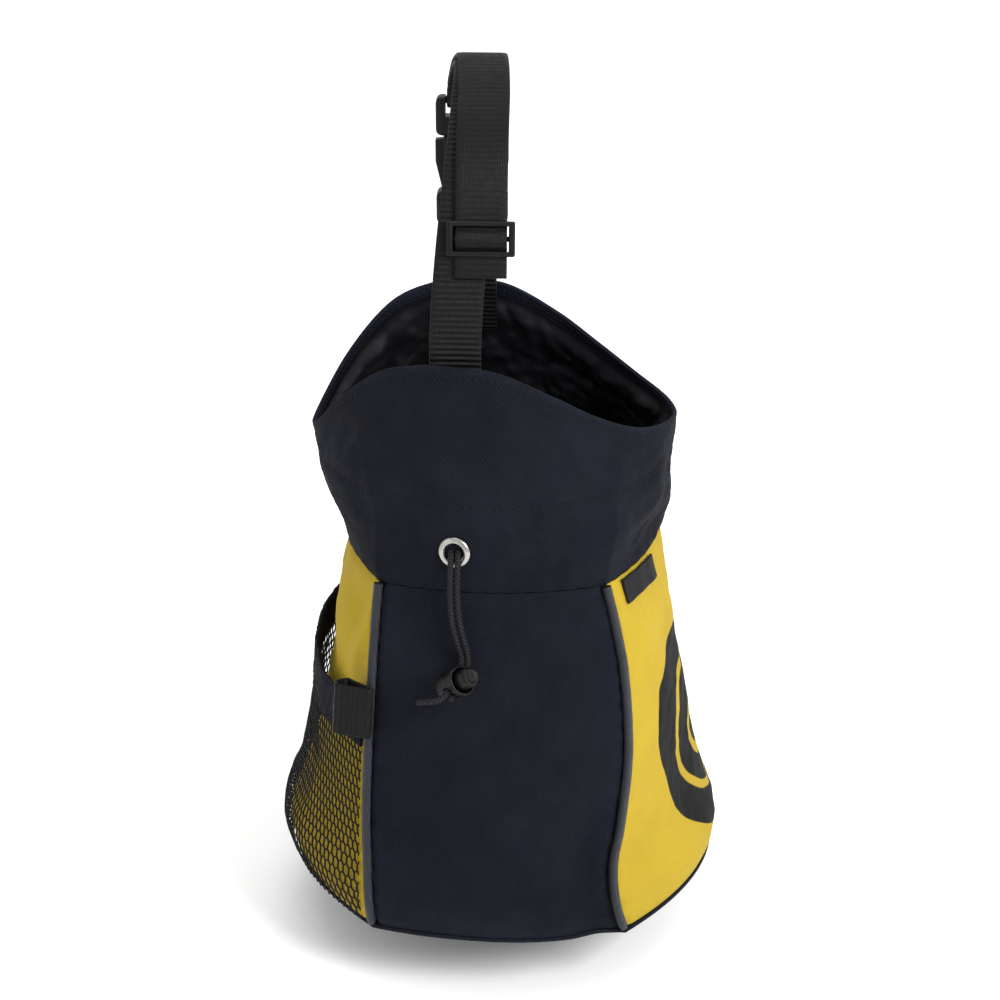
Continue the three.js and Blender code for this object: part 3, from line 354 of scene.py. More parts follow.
class ChalkBagSizes(bpy.types.PropertyGroup):
    """Sizes of the details that the scene adds."""

    rib_pitch: FloatProperty(
        name="Rib pitch", description="Distance between the webbing's ribs",
        default=0.0022, unit="LENGTH"
    )
    rib_relief: FloatProperty(
        name="Rib relief", description="Height of the webbing's ribs",
        default=0.00016, unit="LENGTH"
    )
    stitch_pitch: FloatProperty(
        name="Stitch pitch", description="Distance between stitches", default=0.003, unit="LENGTH"
    )
    stitch_width: FloatProperty(
        name="Stitch width", description="Thickness of the sewing thread",
        default=0.0006, unit="LENGTH"
    )
    net_width: FloatProperty(
        name="Net cell width", description="Width of one cell of the net",
        default=0.0034, unit="LENGTH"
    )
    net_height: FloatProperty(
        name="Net cell height", description="Height of one cell of the net",
        default=0.0052, unit="LENGTH"
    )
    net_thread: FloatProperty(
        name="Net thread", description="Width of the net's threads", default=0.00062, unit="LENGTH"
    )
    panel_thread: FloatProperty(
        name="Panel thread", description="Pitch of the panels' weave", default=0.0009, unit="LENGTH"
    )
    floor_gap: FloatProperty(
        name="Floor gap", description="Height of the bag over the floor",
        default=0.03, unit="LENGTH"
    )
    camera_distance: FloatProperty(
        name="Camera distance", description="Distance of the camera from the bag",
        default=1.1, unit="LENGTH"
    )
    turned_steps: IntProperty(
        name="Turned steps", description="Steps round the turned fittings",
        default=64, min=16, max=128
    )


class ChalkBagColours(bpy.types.PropertyGroup):
    """Colours of the bag."""

    shell: FloatVectorProperty(
        name="Shell", description="Black cloth", subtype="COLOR", size=3,
        default=(0.0031, 0.0038, 0.0078)
    )
    sides: FloatVectorProperty(
        name="Sides", description="Yellow cloth", subtype="COLOR", size=3,
        default=(0.335, 0.235, 0.017)
    )
    piping: FloatVectorProperty(
        name="Piping", description="Grey piping", subtype="COLOR", size=3,
        default=(0.008, 0.009, 0.013)
    )
    lining: FloatVectorProperty(
        name="Lining", description="Satin lining", subtype="COLOR", size=3,
        default=(0.0035, 0.0035, 0.005)
    )
    webbing: FloatVectorProperty(
        name="Webbing", description="Ribbed webbing", subtype="COLOR", size=3,
        default=(0.0036, 0.0034, 0.0033)
    )
    cord: FloatVectorProperty(
        name="Cord", description="Braided cord", subtype="COLOR", size=3,
        default=(0.0075, 0.0075, 0.009)
    )
    plastic: FloatVectorProperty(
        name="Plastic", description="Moulded fittings", subtype="COLOR", size=3,
        default=(0.0024, 0.0024, 0.003)
    )


def sizes():
    return bpy.context.scene.chalk_bag_sizes


def colours():
    return bpy.context.scene.chalk_bag_colours


# Shape of the bag, as functions of arrays, in millimetres from the base upwards.


def read(table, column, at):
    """Column of a table between its rows, on a smooth curve through them."""
    places, values = table["at"], table[column]
    last = len(places) - 2
    at = np.asarray(at, float)
    i = np.clip(np.searchsorted(places[1:], at), 0, last)
    low = np.maximum(np.arange(last + 2) - 1, 0)
    high = np.minimum(np.arange(last + 2) + 1, last + 1)
    slope = (values[high] - values[low]) / (places[high] - places[low])
    width = places[i + 1] - places[i]
    s = np.clip((at - places[i]) / width, 0, 1)
    lift = slope[i] * width * s * (1 - s) ** 2 - slope[i + 1] * width * s * s * (1 - s)
    return values[i] + (values[i + 1] - values[i]) * s * s * (3 - 2 * s) + lift


def mix(a, b, share):
    return a + (b - a) * share


def smooth_step(value, low, high):
    s = np.clip((value - low) / (high - low), 0, 1)
    return s * s * (3 - 2 * s)


def stacked(x, y, z):
    return np.stack(np.broadcast_arrays(x, y, z), axis=-1).astype(float)


def bell(distance, reach):
    """Bell curve of a distance, 1 in its middle."""
    return np.exp(-((distance / reach) ** 2))


def unit(vectors):
    return vectors / np.linalg.norm(vectors, axis=-1, keepdims=True)


def reached_along(points):
    """Length of a line up to each of its points."""
    return np.concatenate(([0], np.cumsum(np.linalg.norm(np.diff(points, axis=0), axis=1))))


def between(at, reached, points):
    """Points of a line at some lengths along it."""
    return np.stack([np.interp(at, reached, column) for column in points.T], axis=-1)


def soften(line, rounds):
    """Smooths an open line in place, with its ends kept."""
    for _ in range(rounds):
        line[1:-1] = (line[:-2] + line[1:-1] * 2 + line[2:]) / 4


def spokes(first, second, angle):
    """Directions at angles from one direction to another."""
    return first * np.cos(angle)[:, None] + second * np.sin(angle)[:, None]


def step_of(share, count):
    """Number of a grid's step at a share of its way."""
    return np.rint(share * count).astype(int)


def in_metres(across, along):
    """UV map of a cloth from millimetres across and along it."""
    return np.stack((across, along), axis=-1) / 1000


def inset(points, distance):
    """Points moved towards the bag's upright axis."""
    radius = np.hypot(points[..., 0], points[..., 1])
    share = 1 - distance / np.maximum(radius, 1e-6)
    return stacked(points[..., 0] * share, points[..., 1] * share, points[..., 2])


def fold_depth(folds, ring, up, side=None):
    """Depth of the folds at a place of the ring of four sides, or of one side alone."""
    depth = 0
    for k in range(len(folds["side"])):
        if side is not None and folds["side"][k] != side:
            continue
        apart = (ring - folds["side"][k] - folds["across"][k] + 2) % 4 - 2
        reach = (apart / folds["wide"][k]) ** 2 + ((up - folds["up"][k]) / folds["tall"][k]) ** 2
        depth = depth + folds["deep"][k] * np.exp(-reach)
    return depth


def crease_depth(creases, ring, up, width, height, side=None):
    """Depth of the creases at a place, for sides of that width and height."""
    depth = 0
    for k in range(len(creases["side"])):
        if side is not None and creases["side"][k] != side:
            continue
        start, end = creases["across"][k], creases["to_across"][k]
        low, high = creases["up"][k], creases["to_up"][k]
        apart = (ring - creases["side"][k] - start + 2) % 4 - 2
        run_a, run_b = (end - start) * width, (high - low) * height
        a, b = apart * width, (up - low) * height
        share = np.clip((a * run_a + b * run_b) / (run_a**2 + run_b**2), 0, 1)
        away = np.hypot(a - share * run_a, b - share * run_b)
        taper = np.sin(np.pi * np.clip(share, 0.02, 0.98)) ** 0.6
        depth = depth + creases["deep"][k] * taper * bell(away, creases["wide"][k])
    return depth


def ripple(a, b, reach, seed):
    """Uneven soft waves over a surface, from about -1 to 1; reach is their length."""
    total = 0
    for layer in range(3):
        size = reach / 1.9**layer
        for k in range(3):
            turn = 0.7 + 2.2 * k + 1.3 * layer + seed
            along = (a * math.cos(turn) + b * math.sin(turn)) / size
            aside = (b * math.cos(turn) - a * math.sin(turn)) / (1.7 * size)
            bend = np.sin(2 * np.pi * aside + 2.9 * layer + 1.3 * k + seed)
            swing = np.sin(2 * np.pi * along + 1.4 * bend + 1.7 * k + 2.3 * seed)
            total = total + 0.6**layer * swing
    return total / 3.2


def ring_ripple(ring, height, reach, seed):
    """Soft waves round the bag that meet where the ring closes."""
    first, second = (ripple(at * SIDE_SPAN, height, reach, seed) for at in (ring, ring - 4))
    return mix(first, second, smooth_step(ring, 3, 4))


def ring_puckers(ring, count):
    """Uneven short puckers round the bag."""
    return np.sin(np.pi / 2 * count * ring + 2 * np.sin(1.5 * np.pi * ring))


def body_corner(level, corner):
    x = PANEL_HALF_WIDTH * read(BODY_PROFILE, "right" if corner == 1 else "left", level)
    depth = mix(WAIST_CORNER_DEPTH, BASE_CORNER_DEPTH, read(BODY_PROFILE, "spread", level))
    y = depth if corner >= 2 else -depth
    return stacked(x if corner in (1, 2) else -x, y, np.asarray(level) * BODY_HEIGHT)


def side_bow(level, side):
    """How far a side stands out from the line between its two corners."""
    if side % 2 == 0:
        return FRONT_BOW
    spread = read(BODY_PROFILE, "spread", level)
    reach = mix(WAIST_HALF_WIDTH, BASE_HALF_WIDTH, spread)
    first, second = body_corner(level, side), body_corner(level, (side + 1) % 4)
    swell = np.sin(np.pi * np.minimum(np.asarray(level) / 0.8, 1))
    slack = POCKET_SLACK * swell if side == 3 else 0
    return reach - (abs(first[..., 0]) + abs(second[..., 0])) / 2 - slack


def side_width(level, side):
    """Distance between the two corners of a side."""
    apart = body_corner(level, (side + 1) % 4) - body_corner(level, side)
    return np.hypot(apart[..., 0], apart[..., 1])


def body_point(side, across, level):
    """Point of the body's outer face on a side."""
    first, second = body_corner(level, side), body_corner(level, (side + 1) % 4)
    across = np.asarray(across, float)
    point = first + (second - first) * across[..., None]
    run = second - first
    length = np.hypot(run[..., 0], run[..., 1])
    bow = side_bow(level, side) * 4 * across * (1 - across)
    point[..., 0] += run[..., 1] / length * bow
    point[..., 1] -= run[..., 0] / length * bow
    return inset(point, fold_depth(BODY_FOLDS, side + across, level, side))


def body_ring(ring, level):
    """Point of the body's outer face by its place round the four sides, from 0 to 4."""
    ring, level = np.broadcast_arrays(np.asarray(ring, float) % 4, level)
    side = np.minimum(ring.astype(int), 3)
    points = np.zeros(ring.shape + (3,))
    for k in range(4):
        here = side == k
        points[here] = body_point(k, ring[here] - k, level[here])
    return points


def rim_height(x):
    share = np.clip((x - RIM_SHIFT) / RIM_HALF_WIDTH, -1, 1)
    return mix(RIM_DIP_HEIGHT, RIM_PEAK_HEIGHT, read(RIM_LINE, "rise", share))


def collar_ring(ring, up):
    """Point of the collar's outer face: up goes from the waist seam at 0 to the rim at 1."""
    ring, up = np.broadcast_arrays(np.asarray(ring, float), np.asarray(up, float))
    waist = body_ring(ring, np.ones(ring.shape))
    angle = np.radians(90 * ring - 135)
    pinched = np.sign(np.sin(angle)) * abs(np.sin(angle)) ** RIM_PINCH
    rim_x = RIM_SHIFT + RIM_HALF_WIDTH * np.cos(angle)
    x = mix(waist[..., 0], rim_x, read(COLLAR_PROFILE, "flare", up))
    y = mix(waist[..., 1], RIM_HALF_DEPTH * pinched, read(COLLAR_PROFILE, "tuck", up))
    z = mix(BODY_HEIGHT + SEAM_GAP, rim_height(rim_x), up)
    fade = 1 - bell(up, 0.1)
    return inset(stacked(x, y, z), fade * fold_depth(COLLAR_FOLDS, ring, up))


def ring_at_x(side, x, up):
    """Place round the collar's near (0) or far (2) side where its outer face reaches an x."""
    places = side + np.linspace(0.02, 0.98, 1500)
    reached = collar_ring(places, up)[:, 0]
    return places[np.argmin(abs(reached - x))]


EYELET_UP = float(EYELET_ABOVE_WAIST / (rim_height(EYELET_X) - BODY_HEIGHT))
EYELET_RING = ring_at_x(0, EYELET_X, EYELET_UP)


class Curve:
    """Smooth curve through points, read by its length."""

    def __init__(self, points, count=240):
        points = np.array(points, float)
        ends = np.vstack((2 * points[0] - points[1], points, 2 * points[-1] - points[-2]))
        parts = []
        for i in range(1, len(ends) - 2):
            a, b, c, d = ends[i - 1 : i + 3]
            gaps = [max(np.linalg.norm(q - p) ** 0.5, 1e-6) for p, q in ((a, b), (b, c), (c, d))]
            back, here, on = gaps
            first = ((b - a) / back - (c - a) / (back + here) + (c - b) / here) * here
            second = ((c - b) / here - (d - b) / (here + on) + (d - c) / on) * here
            t = np.linspace(0, 1, count, endpoint=False)[:, None]
            cubic = 2 * b - 2 * c + first + second
            square = 3 * c - 3 * b - 2 * first - second
            parts.append(b + first * t + square * t**2 + cubic * t**3)
        self.points = np.vstack(parts + [points[-1:]])
        self.reached = reached_along(self.points)
        self.length = self.reached[-1]

    def at(self, distance):
        return between(distance, self.reached, self.points)

    def along(self, distance):
        ahead, behind = np.minimum(distance + 0.2, self.length), np.maximum(distance - 0.2, 0)
        return unit(self.at(ahead) - self.at(behind))


def sewn_point(side, x, up):
    """Place inside the lining where the middle of the flat webbing is sewn, near or far."""
    depth = COLLAR_WALL + LINING_GAP + LINING_WALL + 2 * SEAM_GAP + WEBBING_THICKNESS / 2
    offsets = (-WEBBING_WIDTH / 2, 0, WEBBING_WIDTH / 2)
    edges = [collar_ring(ring_at_x(side, x + offset, up), up).reshape(3) for offset in offsets]
    flattest = min(abs(point[1]) for point in edges)
    return np.array((x, (-1 if side == 0 else 1) * (flattest - depth), edges[1][2]))


def inner_ply():
    """Middle line of the handle's inner ply."""
    near_x = HANDLE_ARCH["x"][0]
    near, far = sewn_point(0, near_x, 1), sewn_point(2, near_x, 1)
    points = [sewn_point(0, near_x, up) for up in (0.76, 0.86, 0.95)]
    for across, up, x in zip(HANDLE_ARCH["across"], HANDLE_ARCH["up"], HANDLE_ARCH["x"]):
        points.append(np.array((x, mix(near[1], far[1], across), near[2] + up * HANDLE_RISE)))
    return Curve(points), points[-1]


INNER_PLY, PLY_END = inner_ply()
CROWN = INNER_PLY.points[np.argmax(INNER_PLY.points[:, 2])]
HANG_SHIFT = np.array((-CROWN[0], -CROWN[1], WEBBING_THICKNESS / 2 - CROWN[2]))
TURN_RADIUS = BUCKLE_BAR / 2 + SEAM_GAP + WEBBING_THICKNESS / 2
BUCKLE_MIDDLE = PLY_END + np.array((0, TURN_RADIUS, -BUCKLE_LENGTH / 2 - TURN_RADIUS))


def hung(points):
    """Points from the bag's own millimetres to metres under the hook."""
    return (np.asarray(points, float) + HANG_SHIFT) / 1000


def bar_middle(end):
    return BUCKLE_MIDDLE + np.array((0, 0, end * (BUCKLE_LENGTH - BUCKLE_BAR) / 2))


def bar_turn(middle, sign):
    angle = np.linspace(0, np.pi, 25)
    return middle + TURN_RADIUS * stacked(0 * angle, -np.cos(angle), sign * np.sin(angle))


def ply_stand_off(from_slider):
    """Distance between the middles of the two plies by the distance from the slider."""
    pitch = (SLIDER_HEIGHT - SLIDER_BAR) / 2
    low = WEBBING_THICKNESS + SEAM_GAP
    high = WEBBING_THICKNESS + 2 * SEAM_GAP + SLIDER_BAR
    wave = (1 + np.cos(np.pi * np.clip(from_slider / pitch, -1, 1))) / 2
    return mix(low, high, wave) + PLY_SLACK * smooth_step(from_slider, pitch, 35)


def main_webbing():
    """Path of the long webbing, from its sewn end over the arch and back to its free end."""
    length = INNER_PLY.length
    slider = length - SLIDER_FROM_BUCKLE
    tail = slider - SLIDER_HEIGHT / 2 - TAIL_LENGTH
    inner = INNER_PLY.at(np.linspace(0, length, 300))[:-1]
    reached = np.linspace(length, tail, 500)
    along = INNER_PLY.along(reached)
    out = stacked(0 * reached, -along[:, 2], along[:, 1])
    out = unit(out)
    near_bar = smooth_step(reached / length, 0.88, 1)
    apart = mix(ply_stand_off(reached - slider), 2 * TURN_RADIUS, near_bar)
    outer = INNER_PLY.at(reached) + out * apart[:, None]
    drift = 1 - smooth_step(reached / length, 0.7, 0.97)
    outer[:, 0] = mix(outer[:, 0], OUTER_PLY_X, drift)
    return np.vstack((inner, bar_turn(bar_middle(1), -1), outer[3:]))


def far_webbing():
    """Path of the short webbing, from the far rim over the buckle's lower bar."""
    bar = bar_middle(-1)
    turn = bar_turn(bar, 1)
    sewn = [sewn_point(2, bar[0], up) for up in (0.76, 0.86, 0.95, 1)]
    below = turn[0] + np.array((0, 0, bar[2] - 5 - turn[0][2]))
    run = Curve(sewn + [below, turn[0]])
    fall = np.linspace(0.05, 1, 40)
    apart = mix(2 * TURN_RADIUS, WEBBING_THICKNESS + 2 * SEAM_GAP, smooth_step(fall * 5, 0, 4))
    tail = stacked(bar[0] + 0 * fall, bar[1] - TURN_RADIUS + apart, bar[2] - fall * FAR_TAIL)
    return np.vstack((run.at(np.linspace(0, run.length, 200))[:-1], turn, tail))


def pocket_margin():
    return (PIPING_RADIUS + 3 * SEAM_GAP) / (2 * WAIST_CORNER_DEPTH)


def pocket_edge(across):
    return mix(POCKET_LOW_EDGE, POCKET_HIGH_EDGE, read(POCKET_EDGE, "rise", across))


def pocket_point(across, height, distance):
    """Point over the left panel pushed out by the pocket: across runs from back to front."""
    swell = np.sin(np.pi * across) * np.minimum(1, height / 25)
    out = SEAM_GAP + (POCKET_SLACK + POCKET_BULGE) * swell + distance
    return inset(body_point(3, across, height / BODY_HEIGHT), -out)


# Meshes.


def deselect():
    if bpy.context.mode != "OBJECT":
        bpy.ops.object.mode_set(mode="OBJECT")
    bpy.ops.object.select_all(action="DESELECT")


def pick(piece):
    deselect()
    piece.select_set(True)
    bpy.context.view_layer.objects.active = piece


def merged(piece, distance=1e-6, recalculate=False):
    """Merges a mesh's doubles, and turns its faces outwards if asked."""
    pick(piece)
    bpy.ops.object.mode_set(mode="EDIT")
    bpy.ops.mesh.select_all(action="SELECT")
    bpy.ops.mesh.remove_doubles(threshold=distance)
    if recalculate:
        bpy.ops.mesh.normals_make_consistent(inside=False)
    bpy.ops.object.mode_set(mode="OBJECT")


def applied(piece, kind, **settings):
    """Adds a modifier with its settings and applies it."""
    pick(piece)
    modifier = piece.modifiers.new(kind.title(), kind)
    for name, value in settings.items():
        setattr(modifier, name, value)
    bpy.ops.object.modifier_apply(modifier=modifier.name)


def smoothed(piece, degrees=40):
    pick(piece)
    bpy.ops.object.shade_smooth_by_angle(angle=math.radians(degrees))


def patch(name, wide, tall, place, flat, wear=None, looped=False, capped=False):
    """Grid whose points go to place(u, v), with flat(u, v) in metres as its UV map."""
    deselect()
    bpy.ops.mesh.primitive_grid_add(x_subdivisions=wide, y_subdivisions=tall, size=1)
    piece = bpy.context.object
    piece.name = piece.data.name = name
    mesh = piece.data
    start = np.empty(len(mesh.vertices) * 3)
    mesh.vertices.foreach_get("co", start)
    u, v = start.reshape(-1, 3)[:, 0] + 0.5, start.reshape(-1, 3)[:, 1] + 0.5
    column, row = step_of(u, wide), step_of(v, tall)
    inner = np.clip((row - 1) / (tall - 2), 0, 1) if capped else v
    points = place(u, inner)
    if capped:
        for end in (0, tall):
            ring = (row == end) & (column < wide)
            points[row == end] = points[ring].mean(axis=0)
    mesh.vertices.foreach_set("co", hung(points).ravel())
    cloth = flat(u, inner)
    corners = np.empty(len(mesh.loops), int)
    mesh.loops.foreach_get("vertex_index", corners)
    layer = mesh.uv_layers.active or mesh.uv_layers.new(name="UVMap")
    layer.data.foreach_set("uv", cloth[corners].ravel())
    worn = mesh.attributes.new("wear", "FLOAT", "POINT")
    worn.data.foreach_set("value", np.clip(wear(u, inner), 0, 1) if wear else np.zeros(len(u)))
    mesh.update()
    if looped:
        merged(piece)
    return piece


def linked(name, mesh):
    """New piece of a mesh, in the scene."""
    piece = bpy.data.objects.new(name, mesh)
    bpy.context.scene.collection.objects.link(piece)
    return piece


def hung_matrix(matrix):
    """Matrix that ends in metres under the hook instead of the bag's own millimetres."""
    shift = Matrix.Translation(Vector(HANG_SHIFT.tolist()))
    return Matrix.Scale(0.001, 4) @ shift @ matrix


def thickened(piece, thickness):
    """Gives a sheet its wall, inwards from its face."""
    applied(piece, "SOLIDIFY", thickness=thickness, offset=-1, use_even_offset=False)


def spun(name, profile, matrix):
    """Turned piece from radii and heights, placed by a matrix in the bag's own millimetres."""
    deselect()
    mesh = bpy.data.meshes.new(name)
    points = [(radius, 0, height) for radius, height in profile]
    mesh.from_pydata(points, [(i, i + 1) for i in range(len(points) - 1)], [])
    piece = linked(name, mesh)
    pick(piece)
    bpy.ops.object.mode_set(mode="EDIT")
    bpy.ops.mesh.select_all(action="SELECT")
    bpy.ops.mesh.spin(
        steps=sizes().turned_steps,
        angle=2 * math.pi,
        center=(0, 0, 0),
        axis=(0, 0, 1),
        use_auto_merge=False,
    )
    bpy.ops.object.mode_set(mode="OBJECT")
    mesh.transform(hung_matrix(matrix))
    merged(piece, 1e-6, recalculate=True)
    return piece


def rounded_profile(corners, radius, steps=4):
    """Profile with its inner corners rounded."""
    rounded = [corners[0]]
    for before, here, after in zip(corners, corners[1:], corners[2:]):
        here, before, after = Vector(here), Vector(before), Vector(after)
        back, on = (before - here), (after - here)
        reach = min(radius, back.length / 2.2, on.length / 2.2)
        start, end = here + back.normalized() * reach, here + on.normalized() * reach
        for k in range(steps + 1):
            t = k / steps
            rounded.append(tuple(start * (1 - t) ** 2 + here * (2 * t * (1 - t)) + end * t * t))
    return rounded + [corners[-1]]


def frame_matrix(x, y, z, origin):
    """Matrix from three axes and an origin, in the bag's own millimetres."""
    matrix = Matrix((x, y, z)).transposed().to_4x4()
    matrix.translation = origin
    return matrix


def cut(piece, cutter):
    """Takes a cutter out of a piece, and removes the cutter."""
    pick(piece)
    modifier = piece.modifiers.new("Cut", "BOOLEAN")
    modifier.operation = "DIFFERENCE"
    modifier.solver = "EXACT"
    modifier.object = cutter
    bpy.ops.object.modifier_apply(modifier=modifier.name)
    bpy.data.objects.remove(cutter)


def hard_copy(name, node, width, degrees=30):
    """Copy of a hard node, merged and with its edges rounded."""
    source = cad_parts[node]
    mesh = bpy.data.meshes.new(name)
    copied = bmesh.new()
    copied.from_mesh(source.data)
    copied.to_mesh(mesh)
    copied.free()
    piece = linked(name, mesh)
    merged(piece, 2e-6)
    bpy.ops.object.mode_set(mode="EDIT")
    bpy.ops.mesh.select_all(action="SELECT")
    bpy.ops.mesh.dissolve_limited(angle_limit=math.radians(1))
    bpy.ops.object.mode_set(mode="OBJECT")
    applied(
        piece,
        "BEVEL",
        width=width,
        segments=3,
        limit_method="ANGLE",
        angle_limit=math.radians(degrees),
        use_clamp_overlap=True,
    )
    smoothed(piece, 40)
    return piece


def dressed(piece, body, slot, material, *nodes):
    """Gives a piece its material, sets the body it rides on, and hides the nodes it stands for."""
    piece.data.materials.clear()
    piece.data.materials.append(material)
    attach(piece, body)
    if nodes:
        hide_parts(*nodes)
    return piece


def section(half_width, half_height, flats, corner):
    """Closed section of a flat strip with rounded edges, as points across and through."""
    points = []
    for sign in (1, -1):
        for k in range(flats):
            across = sign * mix(-1, 1, k / flats) * (half_width - half_height)
            points.append((across, -sign * half_height))
        for k in range(corner):
            angle = math.pi * k / corner - math.pi / 2
            across = half_width - half_height + half_height * math.cos(angle)
            points.append((sign * across, sign * half_height * math.sin(angle)))
    return np.array(points)


def strip(name, path, slot, node):
    """Ribbed webbing along a path, its width along X."""
    lengths = reached_along(path)
    rows = int(lengths[-1] / STRIP_STEP)
    reached = np.linspace(0, lengths[-1], rows + 1)
    middle = between(reached, lengths, path)
    soften(middle, 3)
    along = np.gradient(middle[:, 1:], axis=0)
    along = unit(along)
    out = stacked(0 * reached, -along[:, 1], along[:, 0])
    loop = section(WEBBING_WIDTH / 2, WEBBING_THICKNESS / 2, 9, 5)
    count = len(loop)
    pitch, relief = 1000 * sizes().rib_pitch, 1000 * sizes().rib_relief

    def place(u, v):
        i = step_of(u, count) % count
        j = step_of(v, rows)
        across, through = loop[i, 0], loop[i, 1]
        inside = 1 - smooth_step(abs(across), WEBBING_WIDTH / 2 - 1.6, WEBBING_WIDTH / 2 - 1.0)
        wave = np.cos(2 * np.pi * reached[j] / pitch + 0.5 * np.pi * (through > 0))
        through = through + np.sign(through) * relief * wave * mix(0.35, 1, inside)
        points = middle[j] + out[j] * through[:, None]
        points[:, 0] += across
        return points

    def flat(u, v):
        i = step_of(u, count) % count
        j = step_of(v, rows)
        return in_metres(loop[i, 0] + BACK_OFFSET * (loop[i, 1] > 0), reached[j])

    piece = patch(name, count, rows, place, flat, looped=True, capped=True)
    smoothed(piece, 60)
    return dressed(piece, "bag", slot, webbing_material(), node)


# Materials.


def new_material(name, colour, roughness, metallic=0.0, specular=0.5):
    material = bpy.data.materials.get(name)
    if material:
        return material, None, None
    material = bpy.data.materials.new(name)
    material.use_nodes = True
    material.diffuse_color = (*colour, 1)
    tree = material.node_tree
    shader = tree.nodes["Principled BSDF"]
    shader.inputs["Base Color"].default_value = (*colour, 1)
    shader.inputs["Roughness"].default_value = roughness
    shader.inputs["Metallic"].default_value = metallic
    shader.inputs["Specular IOR Level"].default_value = specular
    return material, tree, shader


def calc(tree, operation, first, second=0.0):
    step = tree.nodes.new("ShaderNodeMath")
    step.operation = operation
    for socket, value in zip(step.inputs, (first, second)):
        if isinstance(value, (int, float)):
            socket.default_value = value
        else:
            tree.links.new(value, socket)
    return step.outputs[0]


def plus(tree, first, second):
    return calc(tree, "ADD", first, second)


def times(tree, first, second):
    return calc(tree, "MULTIPLY", first, second)


def lifted(tree, value):
    """Share from 0 to 1 of a value from -1 to 1."""
    return plus(tree, times(tree, value, 0.5), 0.5)


def cloth_axes(tree):
    """The cloth's own two directions, in metres, from its UV map."""
    source = tree.nodes.new("ShaderNodeUVMap")
    source.uv_map = "UVMap"
    split = tree.nodes.new("ShaderNodeSeparateXYZ")
    tree.links.new(source.outputs["UV"], split.inputs[0])
    return split.outputs[0], split.outputs[1]


def wave(tree, value, pitch, turn=0.0):
    """Sine of a distance with that pitch, from -1 to 1."""
    return calc(tree, "SINE", plus(tree, times(tree, value, 2 * math.pi / pitch), turn))


def noise(tree, scale, detail=3.0, roughness=0.55):
    source = tree.nodes.new("ShaderNodeTexCoord")
    pattern = tree.nodes.new("ShaderNodeTexNoise")
    pattern.inputs["Scale"].default_value = scale
    pattern.inputs["Detail"].default_value = detail
    pattern.inputs["Roughness"].default_value = roughness
    tree.links.new(source.outputs["Object"], pattern.inputs["Vector"])
    return pattern.outputs["Fac"]


def blended(tree, share, first, second):
    """Colour between two colours or sockets by a share."""
    step = tree.nodes.new("ShaderNodeMix")
    step.data_type = "RGBA"
    sockets = [socket for socket in step.inputs if socket.type == "RGBA"]
    factor = next(socket for socket in step.inputs if socket.type == "VALUE")
    for socket, value in ((sockets[0], first), (sockets[1], second)):
        if isinstance(value, tuple):
            socket.default_value = (*value, 1)
        else:
            tree.links.new(value, socket)
    tree.links.new(share, factor)
    return next(socket for socket in step.outputs if socket.type == "RGBA")


def ranged(tree, value, low, high, to_low=0.0, to_high=1.0):
    step = tree.nodes.new("ShaderNodeMapRange")
    limits = {"From Min": low, "From Max": high, "To Min": to_low, "To Max": to_high}
    for name, number in limits.items():
        step.inputs[name].default_value = number
    tree.links.new(value, step.inputs["Value"])
    return step.outputs[0]


def patchy(tree, scale, detail, *limits):
    """Share that changes over soft patches."""
    return ranged(tree, noise(tree, scale, detail), *limits)


def coloured(tree, shader, base, gloss=None):
    tree.links.new(base, shader.inputs["Base Color"])
    if gloss:
        tree.links.new(gloss, shader.inputs["Roughness"])


def bumped(tree, shader, *layers):
    """Stacks bumps, each a height and its depth in metres."""
    normal = None
    for height, depth in layers:
        bump = tree.nodes.new("ShaderNodeBump")
        bump.inputs["Strength"].default_value = 1
        bump.inputs["Distance"].default_value = depth
        tree.links.new(height, bump.inputs["Height"])
        if normal:
            tree.links.new(normal, bump.inputs["Normal"])
        normal = bump.outputs["Normal"]
    tree.links.new(normal, shader.inputs["Normal"])


def worn(tree):
    source = tree.nodes.new("ShaderNodeAttribute")
    source.attribute_name = "wear"
    return source.outputs["Fac"]


def shade(colour, share):
    return tuple(min(1.0, part * share) for part in colour)


def cloth_material(
    name, colour, thread, relief, roughness, fade, uneven, twill=False, printed=None
):
    """Woven cloth: plain or twill weave, uneven dye, and paler worn edges."""
    material, tree, shader = new_material(name, colour, roughness, specular=0.14)
    if tree is None:
        return material
    u, v = cloth_axes(tree)
    if twill:
        slant = plus(tree, u, times(tree, v, 0.8))
        lines = wave(tree, slant, thread * 1.6)
        threads = wave(tree, calc(tree, "SUBTRACT", u, v), thread * 0.7)
        weave = plus(tree, times(tree, lines, 0.34), times(tree, threads, 0.16))
    else:
        weave = times(tree, times(tree, wave(tree, u, thread), wave(tree, v, thread)), 0.5)
    height = plus(tree, weave, 0.5)
    slub = noise(tree, 900, 2)
    height = plus(tree, height, times(tree, slub, 0.5))
    dye = patchy(tree, 22, 4, 0.32, 0.68)
    base = blended(tree, dye, shade(colour, 1 - uneven), shade(colour, 1 + uneven))
    grain = ranged(tree, height, 0.2, 1.3)
    base = blended(tree, times(tree, grain, 0.45), base, shade(colour, 1.35))
    rubbed = times(tree, worn(tree), patchy(tree, 240, 3, 0.35, 0.65))
    base = blended(tree, times(tree, rubbed, 0.6), base, shade(colour, fade))
    if printed:
        base = blended(tree, printed(tree, u, v), base, (0.0045, 0.0045, 0.005))
    gloss = patchy(tree, 60, 3, 0.3, 0.7, roughness - 0.06, min(1, roughness + 0.06))
    coloured(tree, shader, base, gloss)
    bumped(tree, shader, (noise(tree, 34, 3), 0.0016), (height, relief))
    return material


